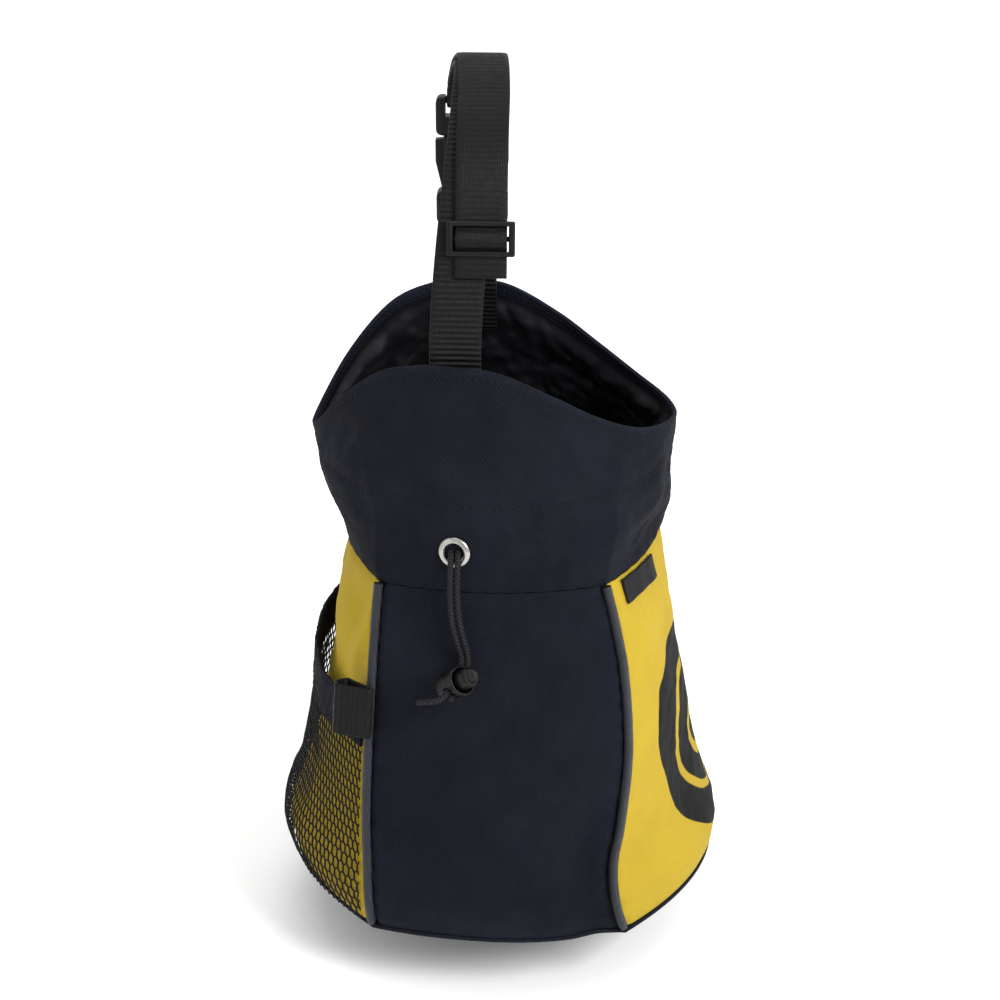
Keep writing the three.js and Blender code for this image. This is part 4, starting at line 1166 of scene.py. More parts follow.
def height_rings(tree, u, v):
    """Mask of a print of uneven rings, like the height lines of a boulder."""
    x = calc(tree, "SUBTRACT", u, 0.006)
    y = calc(tree, "SUBTRACT", v, 0.056)
    lean = plus(tree, x, times(tree, y, 0.28))
    wide = calc(tree, "POWER", calc(tree, "ABSOLUTE", calc(tree, "DIVIDE", lean, 0.06)), 2.3)
    tall = calc(tree, "POWER", calc(tree, "ABSOLUTE", calc(tree, "DIVIDE", y, 0.05)), 2.3)
    away = calc(tree, "POWER", plus(tree, wide, tall), 1 / 2.3)
    away = plus(tree, away, patchy(tree, 22, 1, 0.3, 0.7, -0.1, 0.1))
    mask, soft = None, 0.006
    for start, end in zip(PRINT_BANDS["start"], PRINT_BANDS["end"]):
        after = ranged(tree, away, float(start) - soft, float(start) + soft)
        before = ranged(tree, away, float(end) + soft, float(end) - soft)
        inside = times(tree, after, before)
        mask = inside if mask is None else plus(tree, mask, inside)
    return mask


def shell_material():
    colour, looks = tuple(colours().shell), dict(roughness=0.85, fade=2.4, uneven=0.45)
    return cloth_material("black_shell_cloth", colour, thread=0.00095, relief=0.00026, **looks)


def collar_material():
    colour, looks = tuple(colours().shell), dict(roughness=0.85, fade=2.4, uneven=0.45, twill=True)
    return cloth_material("black_collar_twill", colour, thread=0.00105, relief=0.00024, **looks)


def side_material(name, printed=None):
    colour, looks = tuple(colours().sides), dict(roughness=0.78, fade=1.2, uneven=0.1)
    return cloth_material(name, colour, thread=0.0009, relief=0.00016, printed=printed, **looks)


def lining_material():
    """Satin lining with soft creases."""
    colour = tuple(colours().lining)
    material, tree, shader = new_material("satin_lining", colour, 0.5, specular=0.14)
    if tree is None:
        return material
    u, v = cloth_axes(tree)
    threads = plus(tree, times(tree, wave(tree, plus(tree, u, v), 0.0005), 0.25), 0.5)
    base = blended(tree, patchy(tree, 40, 4, 0.3, 0.7), shade(colour, 0.8), shade(colour, 1.3))
    coloured(tree, shader, base, patchy(tree, 90, 3, 0.3, 0.7, 0.42, 0.6))
    bumped(tree, shader, (noise(tree, 60, 3), 0.0008), (threads, 0.00005))
    return material


def piping_material():
    """Woven tape round the piping cord, rubbed along its crown."""
    colour = tuple(colours().piping)
    material, tree, shader = new_material("piping_tape", colour, 0.42, specular=0.35)
    if tree is None:
        return material
    u, v = cloth_axes(tree)
    threads = times(tree, wave(tree, plus(tree, u, v), 0.0009), wave(tree, v, 0.0008))
    height = lifted(tree, threads)
    rubbed = times(tree, worn(tree), patchy(tree, 180, 3, 0.3, 0.6))
    base = blended(tree, patchy(tree, 50, 3, 0.3, 0.7), shade(colour, 0.75), shade(colour, 1.15))
    base = blended(tree, times(tree, height, 0.3), base, shade(colour, 1.5))
    base = blended(tree, times(tree, rubbed, 0.7), base, shade(colour, 2.2))
    coloured(tree, shader, base)
    bumped(tree, shader, (noise(tree, 120, 3), 0.0008), (height, 0.0002))
    return material


def webbing_material():
    """Ribbed webbing: threads along the ribs, a tighter edge, painted groove shade and crown
    highlights.
    """
    colour = tuple(colours().webbing)
    material, tree, shader = new_material("ribbed_webbing", colour, 0.6, specular=0.13)
    if tree is None:
        return material
    u, v = cloth_axes(tree)
    pitch = sizes().rib_pitch
    ribs = lifted(tree, wave(tree, v, pitch, math.pi / 2))
    threads = lifted(tree, wave(tree, u, 0.00062))
    slant = wave(tree, plus(tree, u, times(tree, v, 0.5)), 0.0011)
    height = plus(tree, times(tree, ribs, 0.6), times(tree, threads, 0.25))
    height = plus(tree, height, times(tree, slant, 0.08))
    # Painted shade and highlight: the base colour is darker in the grooves between the ribs and
    # lighter on their crowns.
    painted_rib_shading = times(tree, ribs, patchy(tree, 300, 3, 0.3, 0.7, 0.3, 1.0))
    base = blended(tree, times(tree, painted_rib_shading, 0.75), shade(colour, 0.55), shade(colour, 2.1))
    base = blended(tree, patchy(tree, 30, 3, 0.35, 0.7, 0.0, 0.35), base, shade(colour, 1.5))
    coloured(tree, shader, base, patchy(tree, 400, 2, 0.3, 0.7, 0.42, 0.58))
    bumped(tree, shader, (noise(tree, 500, 2), 0.0001), (height, 0.0003))
    return material


def plastic_material():
    """Moulded plastic: fine grain, a few scuffs."""
    colour = tuple(colours().plastic)
    material, tree, shader = new_material("moulded_plastic", colour, 0.42, specular=0.18)
    if tree is None:
        return material
    grain = noise(tree, 2600, 2)
    scuffs = ranged(tree, noise(tree, 160, 6, 0.7), 0.56, 0.72)
    base = blended(tree, times(tree, scuffs, 0.6), colour, shade(colour, 3.2))
    coloured(tree, shader, base, patchy(tree, 220, 4, 0.3, 0.7, 0.3, 0.48))
    bumped(tree, shader, (grain, 0.00005))
    return material


def nickel_material():
    """Nickel plate with fine scratches round it."""
    colour = (0.42, 0.405, 0.38)
    material, tree, shader = new_material("nickel_plate", colour, 0.22, metallic=1.0)
    if tree is None:
        return material
    scratches = noise(tree, 1500, 5, 0.7)
    base = blended(tree, patchy(tree, 300, 3, 0.35, 0.7), colour, shade(colour, 0.8))
    coloured(tree, shader, base, ranged(tree, scratches, 0.3, 0.7, 0.14, 0.34))
    bumped(tree, shader, (scratches, 0.00003))
    return material


def cord_material():
    """Braided cord with a pale fleck."""
    colour = tuple(colours().cord)
    material, tree, shader = new_material("braided_cord", colour, 0.6, specular=0.14)
    if tree is None:
        return material
    u, v = cloth_axes(tree)
    first = wave(tree, plus(tree, u, v), 0.00189)
    second = wave(tree, calc(tree, "SUBTRACT", v, u), 0.00189)
    braid = lifted(tree, times(tree, first, second))
    fleck = times(tree, braid, ranged(tree, first, 0.2, 0.8, 0.2, 1.0))
    base = blended(tree, fleck, shade(colour, 0.5), shade(colour, 4.2))
    base = blended(tree, patchy(tree, 120, 3, 0.4, 0.7, 0, 0.4), base, shade(colour, 1.6))
    coloured(tree, shader, base)
    bumped(tree, shader, (noise(tree, 900, 2), 0.0001), (braid, 0.0004))
    return material


def net_material():
    """Knitted net: fine stitches along its threads."""
    colour = (0.0045, 0.0045, 0.005)
    material, tree, shader = new_material("knitted_net", colour, 0.65, specular=0.1)
    if tree is None:
        return material
    u, v = cloth_axes(tree)
    stitches = times(tree, wave(tree, u, 0.00045), wave(tree, v, 0.00055))
    height = lifted(tree, stitches)
    base = blended(tree, height, shade(colour, 0.6), shade(colour, 2.6))
    coloured(tree, shader, base)
    bumped(tree, shader, (noise(tree, 1200, 2), 0.00008), (height, 0.00015))
    return material


def label_material():
    """Plain woven label: satin threads across, paler lines near its folded ends and a paler lower
    edge.
    """
    colour = (0.006, 0.006, 0.0068)
    material, tree, shader = new_material("woven_label", colour, 0.6, specular=0.1)
    if tree is None:
        return material
    u, v = cloth_axes(tree)
    threads = times(tree, wave(tree, v, 0.0005), wave(tree, u, 0.0009))
    height = lifted(tree, threads)
    base = blended(tree, height, shade(colour, 0.7), shade(colour, 2.0))
    rubbed = times(tree, worn(tree), 0.8)
    base = blended(tree, rubbed, base, (0.03, 0.03, 0.03))
    coloured(tree, shader, base)
    bumped(tree, shader, (noise(tree, 600, 2), 0.0001), (height, 0.00012))
    return material


def thread_material(name, colour):
    """Twisted sewing thread."""
    material, tree, shader = new_material(name, colour, 0.55, specular=0.12)
    if tree is None:
        return material
    fibre = noise(tree, 1800, 2)
    base = blended(tree, ranged(tree, fibre, 0.35, 0.65), shade(colour, 0.6), shade(colour, 1.5))
    coloured(tree, shader, base)
    bumped(tree, shader, (fibre, 0.0001))
    return material


def floor_material():
    material, tree, shader = new_material("pale_floor", (0.93, 0.93, 0.93), 0.9)
    if tree is None:
        return material
    tint = blended(tree, noise(tree, 3, 2), (0.92, 0.92, 0.92), (0.94, 0.94, 0.94))
    tree.links.new(tint, shader.inputs["Base Color"])
    return material


# Operators.


class Step(bpy.types.Operator):
    """Base of the bag's operators."""

    bl_options = {"REGISTER", "UNDO"}

    def execute(self, context):
        deselect()
        self.make()
        return {"FINISHED"}


class CHALKBAG_OT_stage(Step):
    """Camera, lights and floor."""

    bl_idname = "chalk_bag.stage"
    bl_label = "Stage"

    def make(self):
        scene = bpy.context.scene
        scene.view_settings.view_transform = "Standard"
        target = Vector(hung(CAMERA_TARGET).tolist())
        turn, rise = math.radians(CAMERA_TURN), math.radians(CAMERA_RISE)
        level = math.cos(rise)
        back = Vector((math.sin(turn) * level, -math.cos(turn) * level, math.sin(rise)))
        bpy.ops.object.camera_add(location=target + back * sizes().camera_distance)
        camera = bpy.context.object
        camera.rotation_euler = (-back).to_track_quat("-Z", "Y").to_euler()
        camera.data.lens = CAMERA_LENS
        camera.data.sensor_width = 36
        scene.camera = camera
        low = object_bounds()[0]
        bpy.ops.mesh.primitive_plane_add(size=9, location=(0, 1.2, low.z - sizes().floor_gap))
        floor = bpy.context.object
        floor.name = "floor"
        pick(floor)
        bpy.ops.object.transform_apply(location=True, rotation=True, scale=True)
        floor.data.materials.append(floor_material())
        floor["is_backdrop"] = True
        world = bpy.data.worlds.new("studio")
        world.use_nodes = True
        world.node_tree.nodes["Background"].inputs["Color"].default_value = (1, 1, 1, 1)
        world.node_tree.nodes["Background"].inputs["Strength"].default_value = 0.9
        scene.world = world
        self.light("key", (1.1, -1.0, 0.8), 0.7, 34)
        self.light("fill", (-1.3, -1.0, 0.3), 1.2, 3)
        self.light("top", (-0.2, 0.35, 1.25), 1.0, 8)
        self.light("back", (0.6, 1.5, 0.5), 1.0, 5)

    def light(self, name, place, size, power):
        bpy.ops.object.light_add(type="AREA", location=place)
        lamp = bpy.context.object
        lamp.name = name
        lamp.data.shape = "SQUARE"
        lamp.data.size = size
        lamp.data.energy = power
        aim = Vector((0, 0, -0.2)) - Vector(place)
        lamp.rotation_euler = aim.to_track_quat("-Z", "Y").to_euler()


class CHALKBAG_OT_drawcord(Step):
    """The drawcord's two ends."""

    bl_idname = "chalk_bag.drawcord"
    bl_label = "Drawcord"

    def make(self):
        lock = ("cord_lock_barrel", "cord_lock_button")
        self.cord("drawcord_long_braid", LONG_CORD_ROUTE, "drawcord_long", lock)
        self.cord("drawcord_short_braid", SHORT_CORD_ROUTE, "drawcord_short", ())

    def cord(self, name, route, node, carried):
        curve = Curve(route)
        rows = int(curve.length / CORD_STEP)
        reached = np.linspace(0, curve.length, rows + 1)
        middle = curve.at(reached)
        soften(middle, 24)
        reached = reached_along(middle)
        along = np.gradient(middle, axis=0)
        along = unit(along)
        side = np.zeros_like(middle)
        side[0] = np.cross(along[0], (1, 0, 0))
        for j in range(1, rows + 1):
            side[j] = side[j - 1] - along[j] * side[j - 1].dot(along[j])
            side[j] /= np.linalg.norm(side[j])
        other = np.cross(along, side)
        around = 20
        sealed = smooth_step(reached, curve.length - 1.6, curve.length - 0.6)
        tip = np.sqrt(np.clip((curve.length - reached) / 0.9, 0.05, 1))
        radius = CORD_DIAMETER / 2 * np.minimum(1, mix(1, tip, sealed))

        def place(u, v):
            j = step_of(v, rows)
            angle = 2 * np.pi * u
            lay = 2 * np.pi * reached[j] / 1.9
            braid = 1 + 0.03 * np.sin(8 * angle + lay) * np.sin(8 * angle - lay)
            swell = (radius[j] * braid)[:, None]
            return middle[j] + swell * spokes(side[j], other[j], angle)

        def flat(u, v):
            j = step_of(v, rows)
            return in_metres(u * np.pi * CORD_DIAMETER, reached[j])

        piece = patch(name, around, rows, place, flat, looped=True, capped=True)
        smoothed(piece, 60)
        dressed(piece, "bag", "cord", cord_material(), node)


class CHALKBAG_OT_panels(Step):
    """The four cloth sides of the body."""

    bl_idname = "chalk_bag.panels"
    bl_label = "Panels"

    def make(self):
        shell = shell_material()
        printed = side_material("yellow_print_cloth", height_rings)
        self.panel("front_cloth", 0, "front_panel", 100, 128, "black_fabric", shell)
        self.panel("right_cloth", 1, "right_panel", 132, 124, "yellow_fabric", printed)
        self.panel("back_cloth", 2, "back_panel", 90, 110, "black_fabric", shell)
        plain = side_material("yellow_cloth")
        self.panel("left_cloth", 3, "left_panel", 132, 124, "yellow_fabric", plain)

    def panel(self, name, side, node, wide, tall, slot, material):
        lowest = (BASE_WALL + SEAM_GAP) / BODY_HEIGHT

        def spread(v):
            level = lowest + (1 - lowest) * v
            chord = side_width(level, side)
            bow = side_bow(level, side)
            return level, chord, chord * (1 + 8 / 3 * (bow / chord) ** 2)

        def edges(u, v):
            arc = spread(v)[2]
            return np.minimum(u, 1 - u) * arc, (1 - v) * BODY_HEIGHT, v * BODY_HEIGHT

        def place(u, v):
            level, chord, arc = spread(v)
            margin = (PIPING_RADIUS - 0.3) / chord
            across = margin + (1 - 2 * margin) * u
            seam, top, low = edges(u, v)
            turned = 0.9 * bell(seam, 1.6) + 1.0 * bell(top, 1.7)
            turned = turned + 0.8 * bell(low, 1.5)
            side_wave = np.sin(2 * np.pi * low / 9 + 3 * np.sin(low / 19))
            top_wave = np.sin(2 * np.pi * u * arc / 9 + 2 * np.sin(u * 9))
            pucker = 0.2 * side_wave * bell(seam, 6) + 0.15 * top_wave * bell(top, 8)
            crease = crease_depth(BODY_CREASES, side + across, level, arc, BODY_HEIGHT, side)
            inner = smooth_step(np.minimum(seam, np.minimum(top, low)), 0, 12)
            wide_waves, waves = ripple(u * arc, low, 46, side), ripple(u * arc, low, 15, side + 2)
            uneven = inner * (0.55 * wide_waves + 0.16 * waves)
            filled = (side == 3) * 2.8 * np.sin(np.pi * across) * (1 - smooth_step(low, 62, 92))
            filled = filled * smooth_step(low, 0, 18)
            relief = turned + pucker + crease + uneven - filled
            return inset(body_point(side, across, level), relief)

        def flat(u, v):
            arc = spread(v)[2]
            return in_metres((u - 0.5) * arc, v * BODY_HEIGHT)

        def wear(u, v):
            seam, top, low = edges(u, v)
            return bell(seam, 4) + 0.8 * bell(low, 5) + 0.4 * bell(top, 3)

        piece = patch(name, wide, tall, place, flat, wear)
        thickened(piece, PANEL_WALL / 1000)
        smoothed(piece, 50)
        dressed(piece, "bag", slot, material, node)


class CHALKBAG_OT_pipings(Step):
    """Piping along the body's four corners."""

    bl_idname = "chalk_bag.pipings"
    bl_label = "Pipings"

    def make(self):
        names = ("front_left", "front_right", "back_right", "back_left")
        for corner, name in enumerate(names):
            self.piping(corner, name)

    def piping(self, corner, name):
        lowest = (BASE_WALL + 4 * SEAM_GAP) / BODY_HEIGHT
        curve = Curve(body_corner(np.linspace(lowest, 1, 40), corner), 12)
        rows, around = 230, 24
        reached = np.linspace(0, curve.length, rows + 1)
        middle, along = curve.at(reached), curve.along(reached)
        side = np.cross(along, middle * (1, 1, 0))
        side = unit(side)
        out = np.cross(side, along)

        def place(u, v):
            j = step_of(v, rows)
            angle = 2 * np.pi * u
            swell = PIPING_RADIUS * (1 + 0.035 * ripple(angle * 3, reached[j], 13, corner))
            swell = swell * (1 - 0.25 * bell(reached[j], 1.2))
            return middle[j] + spokes(side[j], out[j], angle) * swell[:, None]

        def flat(u, v):
            return in_metres(2 * np.pi * PIPING_RADIUS * u, v * curve.length)

        def wear(u, v):
            return np.cos(np.clip((2 * np.pi * u - np.pi / 2) * 1.2, -np.pi / 2, np.pi / 2)) ** 3

        whole = dict(looped=True, capped=True)
        piece = patch("piping_tape_" + name, around, rows, place, flat, wear, **whole)
        smoothed(piece, 60)
        dressed(piece, "bag", "piping", piping_material(), "piping_" + name)


class CHALKBAG_OT_base(Step):
    """The base with its turned edge."""

    bl_idname = "chalk_bag.base"
    bl_label = "Base"

    def make(self):
        shares = [(0.0, 0), (0.25, 0), (0.5, 0), (0.7, 0), (0.84, 0), (0.93, 0), (0.975, 0)]
        edge = [(1.2 * math.sin(t), 1 - math.cos(t)) for t in np.linspace(0, math.pi, 9)]
        count = len(shares) + len(edge) + len(shares) - 1

        def place(u, v):
            j = step_of(v, count)
            ring = body_ring(4 * u, np.zeros(len(u)))
            radius = np.hypot(ring[:, 0], ring[:, 1])
            out, z = np.zeros(len(u)), np.zeros(len(u))
            for k in range(count + 1):
                here = j == k
                if k < len(shares):
                    out[here] = shares[k][0] * (radius[here] - 1.2)
                    z[here] = 0
                elif k < len(shares) + len(edge):
                    across, rise = edge[k - len(shares)]
                    out[here] = radius[here] - 1.2 + across
                    z[here] = rise
                else:
                    out[here] = shares[count - k][0] * (radius[here] - 1.2)
                    z[here] = BASE_WALL
            share = out / radius
            x, y = ring[:, 0] * share, ring[:, 1] * share
            flatness = 1 - smooth_step(share, 0.86, 0.98)
            z = z + (z < 1) * flatness * (0.25 + 0.25 * ripple(x, y, 60, 1.0))
            return stacked(x, y, z)

        def flat(u, v):
            return place(u, v)[:, :2] / 1000

        def wear(u, v):
            return bell(v - 0.5, 0.12)

        piece = patch("base_cloth", 220, count, place, flat, wear, looped=True)
        merged(piece, 2e-5)
        smoothed(piece, 50)
        dressed(piece, "bag", "black_fabric", shell_material(), "base_panel")


def collar_relief(ring, up, inside):
    """Depth of the collar's small forms: seams, hem, channel line and creases."""
    height = up * COLLAR_SPAN
    below_rim = (1 - up) * COLLAR_SPAN
    low = 0.9 * bell(height, 1.8)
    pucker = 0.16 * ring_puckers(ring, 43) * bell(height, 9)
    hem_line = 0.28 * bell(below_rim - HEM_STITCH, 0.8)
    hem = -0.2 * (1 - smooth_step(below_rim, 1.5, 4))
    z = mix(BODY_HEIGHT, rim_height(collar_ring(ring, np.ones(ring.shape))[..., 0]), up)
    channel = 0.3 * bell(z - CHANNEL_HEIGHT, 1.0)
    middle = smooth_step(np.minimum(height, below_rim), 0, 14)
    wide = 0.9 * ring_ripple(ring, height, 48, 0.4) + 0.24 * ring_ripple(ring, height, 15, 1.9)
    crease = crease_depth(COLLAR_CREASES, ring, up, SIDE_SPAN, COLLAR_SPAN)
    crease = crease * smooth_step(height, 0, 6)
    if inside:
        return middle * wide + crease
    from_eyelet = collar_ring(ring, up) - collar_ring(EYELET_RING, EYELET_UP)
    clear = smooth_step(np.linalg.norm(from_eyelet, axis=-1), 7.5, 15)
    return low + pucker + hem_line + hem + channel + clear * (middle * wide + crease)


class CHALKBAG_OT_collar(Step):
    """The collar with its rolled hem and the hole of the eyelet."""

    bl_idname = "chalk_bag.collar"
    bl_label = "Collar"

    def make(self):
        roll = COLLAR_WALL / 2
        outer = [(up, 0.0, 0) for up in np.linspace(0, 1, 78)]
        turn = [
            (1 + roll * math.sin(t) / COLLAR_SPAN, roll - roll * math.cos(t), 0)
            for t in np.linspace(0, math.pi, 8)[1:-1]
        ]
        inner = [(up, COLLAR_WALL, 1) for up in np.linspace(1, 0, 26)]
        rows = np.array(outer + turn + inner)
        count = len(rows) - 1

        def place(u, v):
            j = step_of(v, count)
            ring, up = 4 * u, rows[j, 0]
            reliefs = [collar_relief(ring, up, inside) for inside in (True, False)]
            return inset(collar_ring(ring, up), rows[j, 1] + np.where(rows[j, 2] > 0, *reliefs))

        def flat(u, v):
            j = step_of(v, count)
            height = np.where(rows[j, 2] > 0, 2 - rows[j, 0], rows[j, 0]) * 80
            return in_metres(4 * u * SIDE_SPAN, height)

        def wear(u, v):
            j = step_of(v, count)
            return 0.9 * bell((rows[j, 0] - 1) * COLLAR_SPAN, 2)

        piece = patch("collar_cloth", 336, count, place, flat, wear, looped=True)
        deselect()
        bpy.ops.mesh.primitive_cylinder_add(vertices=40, radius=EYELET_CUT / 2000, depth=0.012)
        cutter = bpy.context.object
        cutter.data.transform(Matrix.Scale(1000, 4))
        cutter.data.transform(hung_matrix(eyelet_place()))
        cut(piece, cutter)
        smoothed(piece, 50)
        dressed(piece, "bag", "black_fabric", collar_material(), "collar")


def eyelet_place():
    """Matrix of the eyelet: Z leaves the collar's face, the origin lies on that face."""
    ring, up = EYELET_RING, EYELET_UP
    middle = Vector(collar_ring(ring, up).reshape(3).tolist())
    right = collar_ring(ring + 0.04, up) - collar_ring(ring - 0.04, up)
    above = collar_ring(ring, up + 0.04) - collar_ring(ring, up - 0.04)
    x = Vector(right.reshape(3).tolist()).normalized()
    z = x.cross(Vector(above.reshape(3).tolist())).normalized()
    return frame_matrix(x, z.cross(x), z, middle)


class CHALKBAG_OT_lining(Step):
    """The crumpled satin lining."""

    bl_idname = "chalk_bag.lining"
    bl_label = "Lining"

    def make(self):
        top = 1 - LINING_BELOW_RIM / (RIM_PEAK_HEIGHT - BODY_HEIGHT)
        floor = [(share, 0.0) for share in (0.0, 0.3, 0.6, 0.8, 0.92)]
        body = [(1.0, level) for level in np.linspace(0.0, 0.985, 44)]
        sleeve = [(2.0, up) for up in np.linspace(0.0, top, 56)]
        rows = np.array(floor + body + sleeve)
        count = len(rows) - 1

        def place(u, v):
            j = step_of(v, count)
            ring = 4 * u
            kind, at = rows[j, 0], rows[j, 1]
            level = np.where(kind == 2, 1, at)
            level = np.where(kind < 1, 0, level)
            low = inset(body_ring(ring, level), PANEL_WALL + LINING_GAP)
            low[:, 2] = np.maximum(low[:, 2], BASE_WALL + 2 * SEAM_GAP)
            share = np.minimum(kind, 1)
            low[:, 0] *= share
            low[:, 1] *= share
            up = np.where(kind == 2, at, 0)
            sewn = smooth_step(up, top - 0.09, top - 0.01)
            high = inset(collar_ring(ring, up), COLLAR_WALL + mix(LINING_GAP, 0.15, sewn))
            points = np.where((kind == 2)[:, None], high, low)
            height = np.where(kind == 2, BODY_HEIGHT + up * COLLAR_SPAN, at * BODY_HEIGHT)
            ends = smooth_step(top - up, 0, 0.12) * smooth_step(points[:, 2], 3, 20)
            crumple = 2.6 * abs(ring_ripple(ring, height, 60, 0.9)) ** 0.8
            crumple = crumple + 1.5 * (1 - abs(ring_ripple(ring, height, 26, 2.2))) ** 3
            return inset(points, ends * crumple)

        def flat(u, v):
            j = step_of(v, count)
            return in_metres(4 * u * LINING_SPAN, j * 2.2)

        piece = patch("lining_satin", 250, count, place, flat, looped=True)
        merged(piece, 2e-5)
        thickened(piece, 0.0006)
        smoothed(piece, 70)
        dressed(piece, "bag", "lining_fabric", lining_material(), "lining_pouch", "lining_sleeve")


class CHALKBAG_OT_eyelet(Step):
    """The nickel eyelet."""

    bl_idname = "chalk_bag.eyelet"
    bl_label = "Eyelet"

    def make(self):
        hole, rim = EYELET_HOLE / 2, EYELET_DIAMETER / 2
        profile = [
            (hole, -COLLAR_WALL),
            (hole + 0.6, -COLLAR_WALL),
            (hole + 0.6, SEAM_GAP),
            (rim, SEAM_GAP),
            (rim + 0.02, SEAM_GAP + 0.3),
            (rim - 0.4, SEAM_GAP + EYELET_RISE * 0.68),
            (rim - 1.4, SEAM_GAP + EYELET_RISE),
            (hole + 0.9, SEAM_GAP + EYELET_RISE),
            (hole + 0.1, SEAM_GAP + EYELET_RISE * 0.62),
            (hole, SEAM_GAP - 0.4),
            (hole, -COLLAR_WALL),
        ]
        piece = spun("eyelet_ring", rounded_profile(profile, 0.45, 4), eyelet_place())
        smoothed(piece, 50)
        dressed(piece, "bag", "nickel", nickel_material(), "eyelet")


class CHALKBAG_OT_cord_lock(Step):
    """The cord lock's barrel and plunger."""

    bl_idname = "chalk_bag.cord_lock"
    bl_label = "Cord Lock"

    def make(self):
        along = (LOCK_BORE - LOCK_AXIS * LOCK_BORE.dot(LOCK_AXIS)).normalized()
        side = LOCK_AXIS.cross(along)
        place = frame_matrix(along, side, LOCK_AXIS, LOCK_MOUTH)
        mouth, rear = LOCK_MOUTH_DIAMETER / 2, LOCK_REAR_DIAMETER / 2
        bore = PLUNGER_DIAMETER / 2 + SEAM_GAP
        barrel = [
            (0, -LOCK_LENGTH),
            (rear - 0.6, -LOCK_LENGTH),
            (rear, -LOCK_LENGTH + 0.8),
            (rear + 0.25, -LOCK_LENGTH + 3),
            (mouth - 0.35, -3.4),
            (mouth - 0.35, -2.6),
            (mouth, -2.3),
            (mouth, -0.5),
            (mouth - 0.4, 0),
            (mouth - LOCK_WALL, 0),
            (mouth - LOCK_WALL, -1.5),
            (bore, -3),
            (bore, LOCK_WALL - LOCK_LENGTH),
            (0, LOCK_WALL - LOCK_LENGTH),
        ]
        body = spun("cord_lock_barrel", rounded_profile(barrel, 0.35, 3), place)
        cut(body, self.slot(0, place))
        smoothed(body, 35)
        dressed(body, "bag", "black_plastic", plastic_material(), "cord_lock_body")
        radius = PLUNGER_DIAMETER / 2
        bottom = LOCK_WALL + PLUNGER_TRAVEL + SEAM_GAP - LOCK_LENGTH
        top = PLUNGER_STANDS_OUT
        button = [
            (0, bottom),
            (radius, bottom),
            (radius, top - 0.9),
            (radius - 0.9, top),
            (radius - 1.4, top),
            (radius - 1.8, top - 0.35),
            (0, top - 0.35),
        ]
        plunger = spun("cord_lock_button", rounded_profile(button, 0.5, 4), place)
        cut(plunger, self.slot(PLUNGER_TRAVEL, place))
        smoothed(plunger, 35)
        node = "cord_lock_plunger"
        dressed(plunger, node, "black_plastic", plastic_material(), node)

    def slot(self, travel, place):
        """Cutter of the cross slot, with room for the travel towards the mouth."""
        reach = CORD_DIAMETER / 2 + SEAM_GAP
        width = CORD_PITCH + CORD_DIAMETER + 2 * SEAM_GAP
        deselect()
        bpy.ops.mesh.primitive_cube_add(size=1)
        cutter = bpy.context.object
        size = (2 * LOCK_MOUTH_DIAMETER, width, 2 * reach + travel, 1)
        cutter.data.transform(Matrix.Diagonal(size))
        cutter.data.transform(Matrix.Translation((0, 0, travel / 2 - LOCK_CORD_FROM_MOUTH)))
        cutter.data.transform(hung_matrix(place))
        return cutter


class CHALKBAG_OT_straps(Step):
    """The handle's two webbings."""

    bl_idname = "chalk_bag.straps"
    bl_label = "Webbing"

    def make(self):
        strip("handle_webbing", main_webbing(), "webbing", "strap_main")
        strip("far_webbing", far_webbing(), "webbing", "strap_far")


class CHALKBAG_OT_fittings(Step):
    """The buckle's two halves and the slider."""

    bl_idname = "chalk_bag.fittings"
    bl_label = "Buckle and Slider"

    def make(self):
        for name, node, width in (
            ("buckle_plug_moulded", "buckle_plug", 0.0004),
            ("buckle_socket_moulded", "buckle_socket", 0.0004),
            ("slider_moulded", "slider", 0.0003),
        ):
            piece = hard_copy(name, node, width)
            dressed(piece, "bag", "black_plastic", plastic_material(), node)


